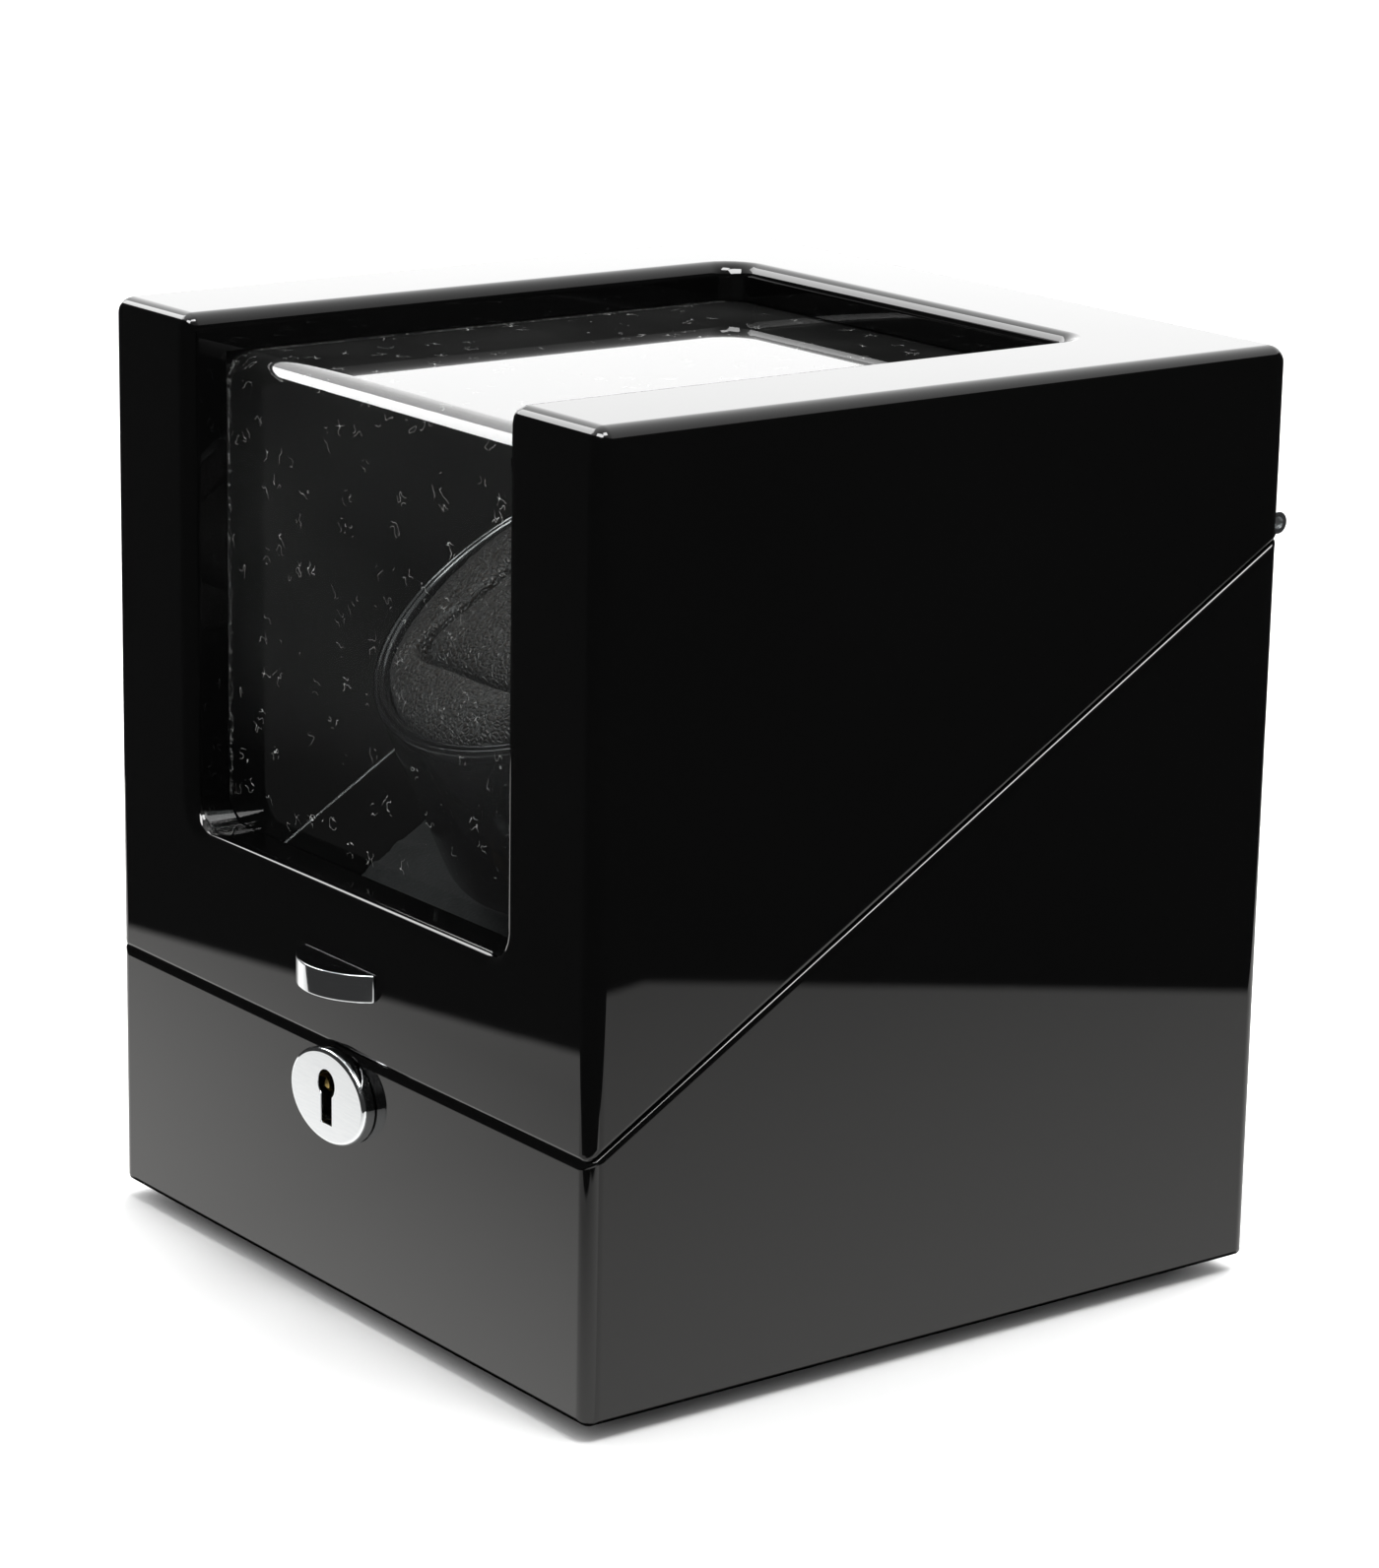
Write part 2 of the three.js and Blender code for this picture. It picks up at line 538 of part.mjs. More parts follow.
// One leaf of the piano hinge, drawn in the tilted frame. Knuckles go turn by turn to the base's
// leaf, which has the two end ones, and to the lid's.
function hingeLeaf(first, side) {
  const pitch = (2 * HINGE_HALF) / KNUCKLE_COUNT;
  const near = side * (SEAM_GAP / 2);
  const far = side * (SEAM_GAP / 2 + LEAF_THICKNESS);
  const [w0, w1] = near < far ? [near, far] : [far, near];
  const reach = HINGE_SLOPE - KNUCKLE_RADIUS - CLEARANCE;
  let leaf = box(-HINGE_HALF, HINGE_HALF, LEAF_START, reach, w0, w1);
  const pieces = [];
  for (let i = first; i < KNUCKLE_COUNT; i += 2) {
    const x0 = -HINGE_HALF + i * pitch + (i ? CLEARANCE / 2 : 0);
    const x1 = -HINGE_HALF + (i + 1) * pitch - (i < KNUCKLE_COUNT - 1 ? CLEARANCE / 2 : 0);
    const tube = place(alongX(new THREE.CylinderGeometry(KNUCKLE_RADIUS, KNUCKLE_RADIUS, x1 - x0,
      16)), (x0 + x1) / 2,
      HINGE_SLOPE, 0);
    pieces.push(box(x0, x1, reach - 1, HINGE_SLOPE - PIN_RADIUS, w0, w1), tube);
  }
  leaf = join(leaf, ...pieces);
  const bore = place(alongX(new THREE.CylinderGeometry(PIN_RADIUS + RUNNING, PIN_RADIUS + RUNNING,
    2 * HINGE_HALF + 2, 16)),
    0, HINGE_SLOPE, 0);
  const holes = hingeScrewPlaces.map((x) => rod(HINGE_SCREW_RADIUS * 2 + CLEARANCE, w0 - 1, w1 + 1, x,
    HINGE_SCREW_SLOPE, 12));
  return cut(leaf, bore, ...holes);
}

const hingePin = place(alongX(new THREE.CylinderGeometry(PIN_RADIUS, PIN_RADIUS, 2 * HINGE_HALF - 0.8,
  16)), 0, HINGE_SLOPE, 0);
slope.add(
  mesh("hinge_leaf_base", hingeLeaf(0, -1), chrome()),
  mesh("hinge_leaf_lid", hingeLeaf(1, 1), chrome()),
  mesh("hinge_pin", hingePin, steel()),
);
hingeScrewPlaces.forEach((x, i) => {
  const lower = mesh(`hinge_screw_base_${i + 1}`,
    screwGeometry(HINGE_SCREW_RADIUS, HINGE_SCREW_LENGTH), steel());
  lower.position.set(x, HINGE_SCREW_SLOPE, -SEAM_GAP / 2);
  const upper = mesh(`hinge_screw_lid_${i + 1}`,
    screwGeometry(HINGE_SCREW_RADIUS, HINGE_SCREW_LENGTH), steel());
  upper.rotation.x = Math.PI;
  upper.position.set(x, HINGE_SCREW_SLOPE, SEAM_GAP / 2);
  slope.add(lower, upper);
});

// ---- Lock ---------------------------------------------------------------------------------------

// A box lock let in behind the keyhole. Its bolt slides sideways through the eyes of two tongues
// that hang from the lid.
const BOLT_THICKNESS = 2;
const BOLT_TRAVEL = 5;
const EYE_CENTRE = {
  y: TONGUE_SLOPE * TILT_COS + EYE_DROP * TILT_SIN,
  z: SEAM_MID + TONGUE_SLOPE * TILT_SIN - EYE_DROP * TILT_COS,
};

function lockCase() {
  const outer = box(-LOCK_HALF, LOCK_HALF, LOCK_FRONT, LOCK_FRONT + LOCK_DEPTH,
    LOCK_TOP - LOCK_HEIGHT, LOCK_TOP);
  const cavity = box(-LOCK_HALF + LOCK_WALL, LOCK_HALF - LOCK_WALL, LOCK_FRONT + LOCK_WALL,
    LOCK_FRONT + LOCK_DEPTH - LOCK_WALL, LOCK_TOP - LOCK_HEIGHT + LOCK_WALL, LOCK_TOP - LOCK_WALL);
  const slots = [-TONGUE_X, TONGUE_X].map((x) =>
    box(x - TONGUE_THICKNESS / 2 - 0.8, x + TONGUE_THICKNESS / 2 + 0.8, LOCK_FRONT + LOCK_WALL,
      LOCK_FRONT + LOCK_DEPTH - LOCK_WALL - 1,
      LOCK_TOP - 2, LOCK_TOP + 1));
  const shell = cut(outer, cavity, ...slots, prismY(keyholePoints(0), LOCK_FRONT - 1, LOCK_FRONT + 2));
  const postHeight = PLATE_CENTRE + KEYHOLE_LENGTH / 2 - KEYHOLE_RADIUS;
  const post = prismY(circlePoints(0.9, 0, postHeight, 12), LOCK_FRONT - 2,
    LOCK_FRONT + LOCK_DEPTH - LOCK_WALL / 2);
  return join(shell, post);
}

// A comb of two fingers on a bar that runs along the bottom of the case.
function lockBolt() {
  const half = BOLT_THICKNESS / 2;
  const low = LOCK_TOP - LOCK_HEIGHT + LOCK_WALL + 0.4;
  const high = EYE_CENTRE.z + half;
  const tip = TONGUE_THICKNESS / 2 + 0.4;
  const post = 2.2;
  const reach = BOLT_TRAVEL + 0.4;
  const profile = [];
  for (const x of [TONGUE_X, -TONGUE_X]) {
    const end = x - tip;
    const root = end - reach;
    profile.push([end, high - BOLT_THICKNESS], [end, high], [root - post, high]);
    if (x > 0) profile.push([root - post, low + post]);
    else profile.push([root - post, low], [TONGUE_X - tip - reach, low]);
    const inner = x > 0 ? -TONGUE_X - tip - reach : null;
    if (inner !== null) profile.push([inner, low + post], [inner, high - BOLT_THICKNESS]);
  }
  profile.push([TONGUE_X - tip - reach, high - BOLT_THICKNESS]);
  return prismY(profile, EYE_CENTRE.y - half, EYE_CENTRE.y + half);
}

// The staple: a plate let into the lid's front edge, with its two tongues.
function lockStaple() {
  const w0 = SEAM_GAP / 2;
  const staple = box(-STAPLE_HALF, STAPLE_HALF, TONGUE_SLOPE - STAPLE_WIDTH / 2,
    TONGUE_SLOPE + STAPLE_WIDTH / 2,
    w0, w0 + STAPLE_THICKNESS);
  const tongues = [-TONGUE_X, TONGUE_X].map((x) => box(x - TONGUE_THICKNESS / 2,
    x + TONGUE_THICKNESS / 2,
    TONGUE_SLOPE - TONGUE_WIDTH / 2, TONGUE_SLOPE + TONGUE_WIDTH / 2, -TONGUE_DEPTH,
    w0 + STAPLE_THICKNESS / 2));
  const eye = box(-STAPLE_HALF, STAPLE_HALF, TONGUE_SLOPE - EYE / 2, TONGUE_SLOPE + EYE / 2,
    -EYE_DROP - EYE / 2, -EYE_DROP + EYE / 2);
  return cut(join(staple, ...tongues), eye);
}

winder.add(
  mesh("lock_case", lockCase(), brass()),
  mesh("lock_bolt", lockBolt(), steel()),
);
slope.add(mesh("lock_staple", lockStaple(), brass()));

// ---- Deck ---------------------------------------------------------------------------------------

const DECK_UNDER = -DECK_DROP - DECK_THICKNESS;
const PLATE_TOP = DECK_UNDER - PULLEY_DROP - PULLEY_WIDTH - 4;
const postPlaces = [[-POST_REACH, POST_SPREAD], [-POST_REACH, -POST_SPREAD],
  [BELT_CENTRES, -POST_SPREAD]];
const deckScrewPlaces = [-1, 1].map((side) => [side * (INNER_SIDE - CLEAT_SIZE / 2), 0]);
const BUSH_RADIUS = SHAFT_RADIUS + RUNNING + BUSH_WALL;

// A panel parallel to the seam plane, cut plumb at both ends to fit between the walls.
function slopingPanel(w0, w1, gap, x0 = -INNER_SIDE + gap, x1 = INNER_SIDE - gap) {
  const at = (y, w) => [y, seamHeight(y) + w / TILT_COS];
  const front = INNER_FRONT + gap;
  const back = INNER_BACK - gap;
  return prismX([at(front, w0), at(back, w0), at(back, w1), at(front, w1)], x0, x1);
}
// The room that the lock case takes at the front of the deck.
const lockNotch = () => box(-LOCK_HALF - 0.6, LOCK_HALF + 0.6, INNER_FRONT - 5,
  LOCK_FRONT + LOCK_DEPTH + 0.6, 0, LOCK_TOP);
const onDrive = (geometry) => fromSlope(place(geometry, 0, DRUM_OFFSET, 0));

function deckPanel() {
  const holes = [
    onDrive(rod(BUSH_RADIUS + 2, DECK_UNDER - 1, -DECK_DROP + 1)),
    ...postPlaces.map(([x, v]) => onDrive(rod(POST_RADIUS / 2 + CLEARANCE, DECK_UNDER - 1,
      -DECK_DROP + 1, x, v, 12))),
    ...deckScrewPlaces.map(([x, y]) => fromSlope(rod(SCREW_RADIUS * 2 + CLEARANCE, DECK_UNDER - 1,
      -DECK_DROP + 1, x,
      slopeAt(y, -DECK_DROP), 12))),
  ];
  return cut(slopingPanel(DECK_UNDER, -DECK_DROP, 0.5), lockNotch(), ...holes);
}

const LINING_UNDER = -DECK_DROP + CLEARANCE;
const LINING_TOP = LINING_UNDER + LINING_THICKNESS;
const liningHole = onDrive(rod(PLINTH_RADIUS - PLINTH_WALL - 4, LINING_UNDER - 1, LINING_TOP + 1));

winder.add(
  mesh("deck_panel", deckPanel(), wood()),
  mesh("deck_lining", cut(slopingPanel(LINING_UNDER, LINING_TOP, 0.6), lockNotch(), liningHole),
    velvet()),
);
["left", "right"].forEach((name, i) => {
  const side = i ? 1 : -1;
  const edges = [side * (INNER_SIDE - CLEARANCE),
    side * (INNER_SIDE - CLEAT_SIZE)].sort((a, b) => a - b);
  const cleat = slopingPanel(DECK_UNDER - CLEARANCE - CLEAT_SIZE, DECK_UNDER - CLEARANCE, 4, ...edges);
  const pilots = deckScrewPlaces.filter(([x]) => x * side > 0).map(([x, y]) =>
    fromSlope(rod(SCREW_RADIUS + CLEARANCE, DECK_UNDER - CLEAT_SIZE - 2, DECK_UNDER, x,
      slopeAt(y, -DECK_DROP), 12)));
  winder.add(mesh(`deck_cleat_${name}`, cut(cleat, ...pilots), wood()));
});
deckScrewPlaces.forEach(([x, y], i) => {
  const screw = mesh(`deck_screw_${i + 1}`, screwGeometry(SCREW_RADIUS, DECK_THICKNESS + 6), steel());
  screw.position.set(x, slopeAt(y, -DECK_DROP), -DECK_DROP - 0.1);
  slope.add(screw);
});

// ---- Drum ---------------------------------------------------------------------------------------

const DRUM_TOP = DRUM_LIFT + DRUM_HEIGHT;
const RIM_HEIGHT = 3;
const PLINTH_TOP = DRUM_LIFT - 2;
const HUB_RADIUS = 8;
const HUB_HEIGHT = 9;
const PLINTH_FOOT = LINING_TOP + 0.2;
const BUSH_LENGTH = 12;

// Hollow plinth that carries the upper bush and hides the gap below the drum.
const plinth = turnedRing([
  [BUSH_RADIUS + CLEARANCE / 3, PLINTH_TOP], [BUSH_RADIUS + CLEARANCE / 3, PLINTH_TOP - BUSH_LENGTH],
  [BUSH_RADIUS + 3, PLINTH_TOP - BUSH_LENGTH], [BUSH_RADIUS + 3, PLINTH_TOP - PLINTH_WALL],
  [PLINTH_RADIUS - PLINTH_WALL, PLINTH_TOP - PLINTH_WALL], [PLINTH_RADIUS - PLINTH_WALL, PLINTH_FOOT],
  [PLINTH_RADIUS, PLINTH_FOOT], [PLINTH_RADIUS, PLINTH_TOP - 1.5], [PLINTH_RADIUS - 0.5,
    PLINTH_TOP - 0.5],
  [PLINTH_RADIUS - 1.5, PLINTH_TOP],
], DRUM_SIDES);

const wallAt = (w) =>
  DRUM_FOOT_RADIUS + ((DRUM_RIM_RADIUS - DRUM_FOOT_RADIUS) * (w - DRUM_LIFT)) / DRUM_HEIGHT;
const rimSeat = DRUM_TOP - RIM_HEIGHT;

// The cup: a tapered wall on a floor, with a boss for the shaft.
const cup = turnedRing([
  [SHAFT_RADIUS + CLEARANCE, DRUM_LIFT], [wallAt(DRUM_LIFT) - 1, DRUM_LIFT], [wallAt(DRUM_LIFT + 1),
    DRUM_LIFT + 1],
  [wallAt(rimSeat), rimSeat], [wallAt(rimSeat) - DRUM_WALL, rimSeat],
  [wallAt(DRUM_LIFT + DRUM_FLOOR) - DRUM_WALL, DRUM_LIFT + DRUM_FLOOR], [HUB_RADIUS,
    DRUM_LIFT + DRUM_FLOOR],
  [HUB_RADIUS, DRUM_LIFT + HUB_HEIGHT], [SHAFT_RADIUS + CLEARANCE, DRUM_LIFT + HUB_HEIGHT],
], DRUM_SIDES);

// The rim: a gloss lip that closes the top of the cup's wall.
const rimOuter = wallAt(rimSeat);
const rimInner = rimOuter - DRUM_WALL - 0.4;
const rim = turnedRing([
  [rimInner, rimSeat + CLEARANCE], [rimOuter, rimSeat + CLEARANCE], [rimOuter, DRUM_TOP - 1.2],
  [rimOuter - 0.5, DRUM_TOP - 0.3], [rimOuter - 1.5, DRUM_TOP], [rimInner + 0.4,
    DRUM_TOP - 0.4], [rimInner, DRUM_TOP - 1.2],
], DRUM_SIDES);

// The padded filling, with a pocket that the cushion is pushed into.
function drumPad() {
  const foot = DRUM_LIFT + HUB_HEIGHT + 3;
  const radius = rimInner - 0.5;
  const crown = 2.5;
  const pad = turned([[0, foot], [radius - 1, foot], [radius, foot + 1], [radius, DRUM_TOP - 3],
    [radius - 2, DRUM_TOP - 0.5],
    [radius - 8, DRUM_TOP + crown - 0.6], [CUSHION_WIDTH / 2, DRUM_TOP + crown], [0,
      DRUM_TOP + crown]], DRUM_SIDES);
  const pocket = roundRectangle(-CUSHION_WIDTH / 2 - CUSHION_FIT, CUSHION_WIDTH / 2 + CUSHION_FIT,
    -CUSHION_LENGTH / 2 - CUSHION_FIT, CUSHION_LENGTH / 2 + CUSHION_FIT, 5);
  return cut(pad, place(extrude(pocket, 60), 0, 0, DRUM_TOP - WELL_DEPTH));
}

// The watch cushion: a soft roll, flattened below and round above, that a strap closes around.
function watchCushion() {
  const foot = DRUM_TOP - WELL_DEPTH + 0.4;
  const slice = (x, shrink) => roundRectangle(-CUSHION_LENGTH / 2 + shrink,
    CUSHION_LENGTH / 2 - shrink, foot + shrink,
    foot + CUSHION_HEIGHT - shrink, CUSHION_RADIUS, 5).map(([v, w]) => [x, v, w]);
  const half = CUSHION_WIDTH / 2;
  return loft([slice(-half, 3), slice(-half + 1, 1), slice(-half + 3, 0), slice(half - 3, 0),
    slice(half - 1, 1), slice(half, 3)]);
}

const SHAFT_FOOT = PLATE_TOP - MOTOR_PLATE_THICKNESS - 3;
const CLIP_GROOVE = 0.6;
const shaft = turned([
  [0, SHAFT_FOOT], [SHAFT_RADIUS - 0.4, SHAFT_FOOT], [SHAFT_RADIUS, SHAFT_FOOT + 0.4],
  [SHAFT_RADIUS, SHAFT_FOOT + 0.8], [SHAFT_RADIUS - CLIP_GROOVE, SHAFT_FOOT + 0.8],
  [SHAFT_RADIUS - CLIP_GROOVE, SHAFT_FOOT + 1.6], [SHAFT_RADIUS, SHAFT_FOOT + 1.6],
  [SHAFT_RADIUS, DRUM_LIFT + HUB_HEIGHT - 0.4], [0, DRUM_LIFT + HUB_HEIGHT - 0.4],
]);
// The clip's ring is split, so that it can be pushed on to the shaft.
const clip = cut(
  turnedRing([[SHAFT_RADIUS - CLIP_GROOVE + 0.1, SHAFT_FOOT + 0.95],
    [SHAFT_RADIUS + 2, SHAFT_FOOT + 0.95],
    [SHAFT_RADIUS + 2, SHAFT_FOOT + 1.45], [SHAFT_RADIUS - CLIP_GROOVE + 0.1, SHAFT_FOOT + 1.45]]),
  box(-1.6, 1.6, 0, 10, SHAFT_FOOT, SHAFT_FOOT + 3),
);

// A pulley about +Z with a V groove for the round belt.
function pulley(beltRadius, bore, top) {
  const foot = top - PULLEY_WIDTH;
  const middle = top - PULLEY_WIDTH / 2;
  const bottom = beltRadius - BELT_RADIUS - CLEARANCE;
  const edge = beltRadius + BELT_RADIUS + 0.8;
  return turnedRing([[bore, foot], [edge, foot], [edge, foot + 1], [bottom, middle - BELT_RADIUS * 0.7],
    [bottom, middle + BELT_RADIUS * 0.7], [edge, top - 1], [edge, top], [bore, top]], 24);
}
const PULLEY_TOP = DECK_UNDER - PULLEY_DROP;

// The belt's loop: an arc round each pulley and two straight runs.
function driveBelt() {
  const wrap = Math.acos((DRUM_PULLEY_RADIUS - MOTOR_PULLEY_RADIUS) / BELT_CENTRES);
  const w = PULLEY_TOP - PULLEY_WIDTH / 2;
  const arc = (cx, radius, from, to, steps) =>
    Array.from({ length: steps + 1 }, (_, i) => {
      const angle = from + ((to - from) * i) / steps;
      return { cx, radius, angle };
    });
  const stations = [
    ...arc(0, DRUM_PULLEY_RADIUS, wrap, 2 * Math.PI - wrap, 22),
    ...arc(BELT_CENTRES, MOTOR_PULLEY_RADIUS, -wrap, wrap, 8),
  ];
  return loft(stations.map(({ cx, radius, angle }) =>
    Array.from({ length: 6 }, (_, k) => {
      const turn = (-k / 6) * 2 * Math.PI;
      const r = radius + BELT_RADIUS * Math.cos(turn);
      return [cx + r * Math.cos(angle), r * Math.sin(angle), w + BELT_RADIUS * Math.sin(turn)];
    })), true);
}

const bush = (top, length) => turnedRing([
  [SHAFT_RADIUS + RUNNING, top - length], [BUSH_RADIUS, top - length], [BUSH_RADIUS,
    top], [SHAFT_RADIUS + RUNNING, top]]);
const LOWER_BUSH_LENGTH = 5;

drive.add(
  mesh("drum_plinth", plinth, glossBlack()),
  mesh("upper_bush", bush(PLINTH_TOP, BUSH_LENGTH), brass()),
  mesh("lower_bush", bush(PLATE_TOP + LOWER_BUSH_LENGTH - MOTOR_PLATE_THICKNESS, LOWER_BUSH_LENGTH),
    brass()),
  mesh("drum_cup", cup, glossBlack()),
  mesh("drum_rim", rim, glossBlack()),
  mesh("drum_pad", drumPad(), leather()),
  mesh("watch_cushion", watchCushion(), leather()),
  mesh("drum_shaft", shaft, steel()),
  mesh("shaft_clip", clip, steel()),
  mesh("drum_pulley", pulley(DRUM_PULLEY_RADIUS, SHAFT_RADIUS + CLEARANCE, PULLEY_TOP), mattBlack()),
  mesh("drive_belt", driveBelt(), rubber()),
);

// ---- Motor --------------------------------------------------------------------------------------

const MOTOR_SCREW_RADIUS = 1.3;
const MOTOR_SCREW_SPREAD = 8.5;
const motorScrewPlaces = [-1, 1].map((side) => [BELT_CENTRES, side * MOTOR_SCREW_SPREAD]);

// The steel plate below the deck that carries the motor and the lower bush.
function motorPlate() {
  const outline = roundRectangle(-POST_REACH - PLATE_MARGIN,
    BELT_CENTRES + GEARBOX_RADIUS + PLATE_MARGIN / 2,
    -POST_SPREAD - PLATE_MARGIN, POST_SPREAD + PLATE_MARGIN, PLATE_MARGIN, 3);
  const plate = place(extrude(outline, MOTOR_PLATE_THICKNESS), 0, 0, PLATE_TOP - MOTOR_PLATE_THICKNESS);
  const through = (radius, x, v) => rod(radius, PLATE_TOP - 5, PLATE_TOP + 5, x, v, 16);
  return cut(plate, through(BUSH_RADIUS + CLEARANCE / 3, 0, 0),
    through(MOTOR_SHAFT_RADIUS + 2, BELT_CENTRES, 0),
    ...motorScrewPlaces.map(([x, v]) => through(MOTOR_SCREW_RADIUS + CLEARANCE, x, v)),
    ...postPlaces.map(([x, v]) => through(POST_RADIUS / 2 + CLEARANCE, x, v)));
}

// Spacer post: its top spigot is glued in the deck and its lower end is riveted over the plate.
const spacerPost = turned([
  [0, PLATE_TOP - MOTOR_PLATE_THICKNESS - 1.6], [POST_RADIUS - 0.6,
    PLATE_TOP - MOTOR_PLATE_THICKNESS - 1.2],
  [POST_RADIUS - 0.3, PLATE_TOP - MOTOR_PLATE_THICKNESS - 0.2], [POST_RADIUS / 2,
    PLATE_TOP - MOTOR_PLATE_THICKNESS - 0.2],
  [POST_RADIUS / 2, PLATE_TOP + 0.2], [POST_RADIUS, PLATE_TOP + 0.2], [POST_RADIUS, DECK_UNDER - 0.2],
  [POST_RADIUS / 2, DECK_UNDER - 0.2], [POST_RADIUS / 2, -DECK_DROP - 0.5], [0, -DECK_DROP - 0.5],
], 12);

drive.add(mesh("motor_plate", motorPlate(), steel()));
postPlaces.forEach(([x, v], i) => {
  const post = mesh(`spacer_post_${i + 1}`, spacerPost.clone(), steel());
  post.position.set(x, v, 0);
  drive.add(post);
});

const GEARBOX_TOP = PLATE_TOP - MOTOR_PLATE_THICKNESS - CLEARANCE;
const gearbox = cut(
  rod(GEARBOX_RADIUS, GEARBOX_TOP - GEARBOX_LENGTH, GEARBOX_TOP, 0, 0, 24),
  rod(MOTOR_SHAFT_RADIUS + RUNNING, GEARBOX_TOP - 8, GEARBOX_TOP + 1),
  ...[-1, 1].map((side) => rod(MOTOR_SCREW_RADIUS + CLEARANCE, GEARBOX_TOP - 5, GEARBOX_TOP + 1, 0,
    side * MOTOR_SCREW_SPREAD, 12)),
);
const motorTop = GEARBOX_TOP - GEARBOX_LENGTH + 0.5;
const motorCan = turned([
  [0, motorTop - MOTOR_LENGTH - 1.5], [3, motorTop - MOTOR_LENGTH - 1.5], [3, motorTop - MOTOR_LENGTH],
  [MOTOR_RADIUS - 1, motorTop - MOTOR_LENGTH], [MOTOR_RADIUS,
    motorTop - MOTOR_LENGTH + 1], [MOTOR_RADIUS, motorTop], [0, motorTop],
], 24);
const motorShaft = rod(MOTOR_SHAFT_RADIUS, GEARBOX_TOP - 7, PULLEY_TOP + 0.5);
const motor = new THREE.Group();
motor.position.x = BELT_CENTRES;
motor.add(
  mesh("gear_motor", join(gearbox, motorCan), steel()),
  mesh("motor_shaft", motorShaft, steel()),
  mesh("motor_pulley", pulley(MOTOR_PULLEY_RADIUS, MOTOR_SHAFT_RADIUS + CLEARANCE, PULLEY_TOP),
    mattBlack()),
);
motorScrewPlaces.forEach(([, v], i) => {
  const screw = mesh(`motor_screw_${i + 1}`,
    turned([[0, -4.5], [MOTOR_SCREW_RADIUS, -4.5], [MOTOR_SCREW_RADIUS, 2.3],
    [MOTOR_SCREW_RADIUS * 1.9, 2.3], [MOTOR_SCREW_RADIUS * 1.5, 3.4], [0, 3.6]], 12), steel());
  screw.position.set(0, v, PLATE_TOP - MOTOR_PLATE_THICKNESS - 0.6);
  motor.add(screw);
});
drive.add(motor);

// ---- Controls on the back -----------------------------------------------------------------------

const panelOutside = BACK - 0.1;
const panelInside = panelOutside - PANEL_THICKNESS;
const KNOB_X = -19;
const SWITCH_X = 3;
const JACK_X = 20;
const boardFace = INNER_BACK - 3.5;
const BOARD_THICKNESS = 1.6;
const LEVER_WIDTH = 3;
const LEVER_HEIGHT = 4;
const KNOB_SHAFT = 2;

function controlPanel() {
  const outline = roundRectangle(-PANEL_WIDTH / 2, PANEL_WIDTH / 2, PANEL_CENTRE - PANEL_HEIGHT / 2,
    PANEL_CENTRE + PANEL_HEIGHT / 2, 1.5);
  const panel = prismY(outline, panelInside, panelOutside);
  const hole = (radius, x) => prismY(circlePoints(radius, x, PANEL_CENTRE), BACK - 10, BACK + 5);
  const slot = box(SWITCH_X - SWITCH_TRAVEL - LEVER_WIDTH / 2 - 0.4,
    SWITCH_X + SWITCH_TRAVEL + LEVER_WIDTH / 2 + 0.4,
    BACK - 10, BACK + 5, PANEL_CENTRE - LEVER_HEIGHT / 2 - 0.4, PANEL_CENTRE + LEVER_HEIGHT / 2 + 0.4);
  return cut(panel, hole(KNOB_SHAFT + 1, KNOB_X), slot, hole(JACK_RADIUS + 1.6, JACK_X));
}

// Round piece along Y from [radius, y] points, on the controls' centre line.
const turnedY = (points, x, sides = SIDES) => place(turned(points, sides).rotateX(-Math.PI / 2), x, 0,
  PANEL_CENTRE);

const knob = turnedY([
  [0, boardFace + 5], [KNOB_SHAFT, boardFace + 5], [KNOB_SHAFT, panelOutside + 0.4], [KNOB_RADIUS,
    panelOutside + 0.4],
  [KNOB_RADIUS - 0.3, panelOutside + KNOB_LENGTH - 0.5], [KNOB_RADIUS - 0.9,
    panelOutside + KNOB_LENGTH], [0, panelOutside + KNOB_LENGTH],
], KNOB_X);
const knobMark = box(KNOB_X - 0.5, KNOB_X + 0.5, panelOutside + KNOB_LENGTH - 0.6,
  panelOutside + KNOB_LENGTH + 2,
  PANEL_CENTRE + 1.5, PANEL_CENTRE + KNOB_RADIUS + 1);
const selector = cut(
  box(KNOB_X - 7, KNOB_X + 7, boardFace + 0.3, boardFace + 8, PANEL_CENTRE - 7, PANEL_CENTRE + 7),
  turnedY([[0, boardFace + 4], [KNOB_SHAFT + RUNNING, boardFace + 4],
    [KNOB_SHAFT + RUNNING, boardFace + 9], [0, boardFace + 9]], KNOB_X),
);
const switchBody = cut(
  box(SWITCH_X - 9, SWITCH_X + 9, boardFace + 0.3, panelInside - 0.3, PANEL_CENTRE - 4,
    PANEL_CENTRE + 4),
  box(SWITCH_X - SWITCH_TRAVEL - LEVER_WIDTH / 2 - 0.6,
    SWITCH_X + SWITCH_TRAVEL + LEVER_WIDTH / 2 + 0.6, panelInside - 5, BACK,
    PANEL_CENTRE - LEVER_HEIGHT / 2 - 0.3, PANEL_CENTRE + LEVER_HEIGHT / 2 + 0.3),
);
const switchLever = box(SWITCH_X - LEVER_WIDTH / 2, SWITCH_X + LEVER_WIDTH / 2, panelInside - 4.5,
  panelOutside + 2.4,
  PANEL_CENTRE - LEVER_HEIGHT / 2, PANEL_CENTRE + LEVER_HEIGHT / 2);
const jackBody = join(
  box(JACK_X - 4.5, JACK_X + 4.5, boardFace + 0.3, panelInside - 0.3, PANEL_CENTRE - 5.5,
    PANEL_CENTRE + 5.5),
  turnedY([[0, boardFace + 4], [JACK_RADIUS + 1.3, boardFace + 4],
    [JACK_RADIUS + 1.3, panelOutside + 0.3],
    [0, panelOutside + 0.3]], JACK_X),
);
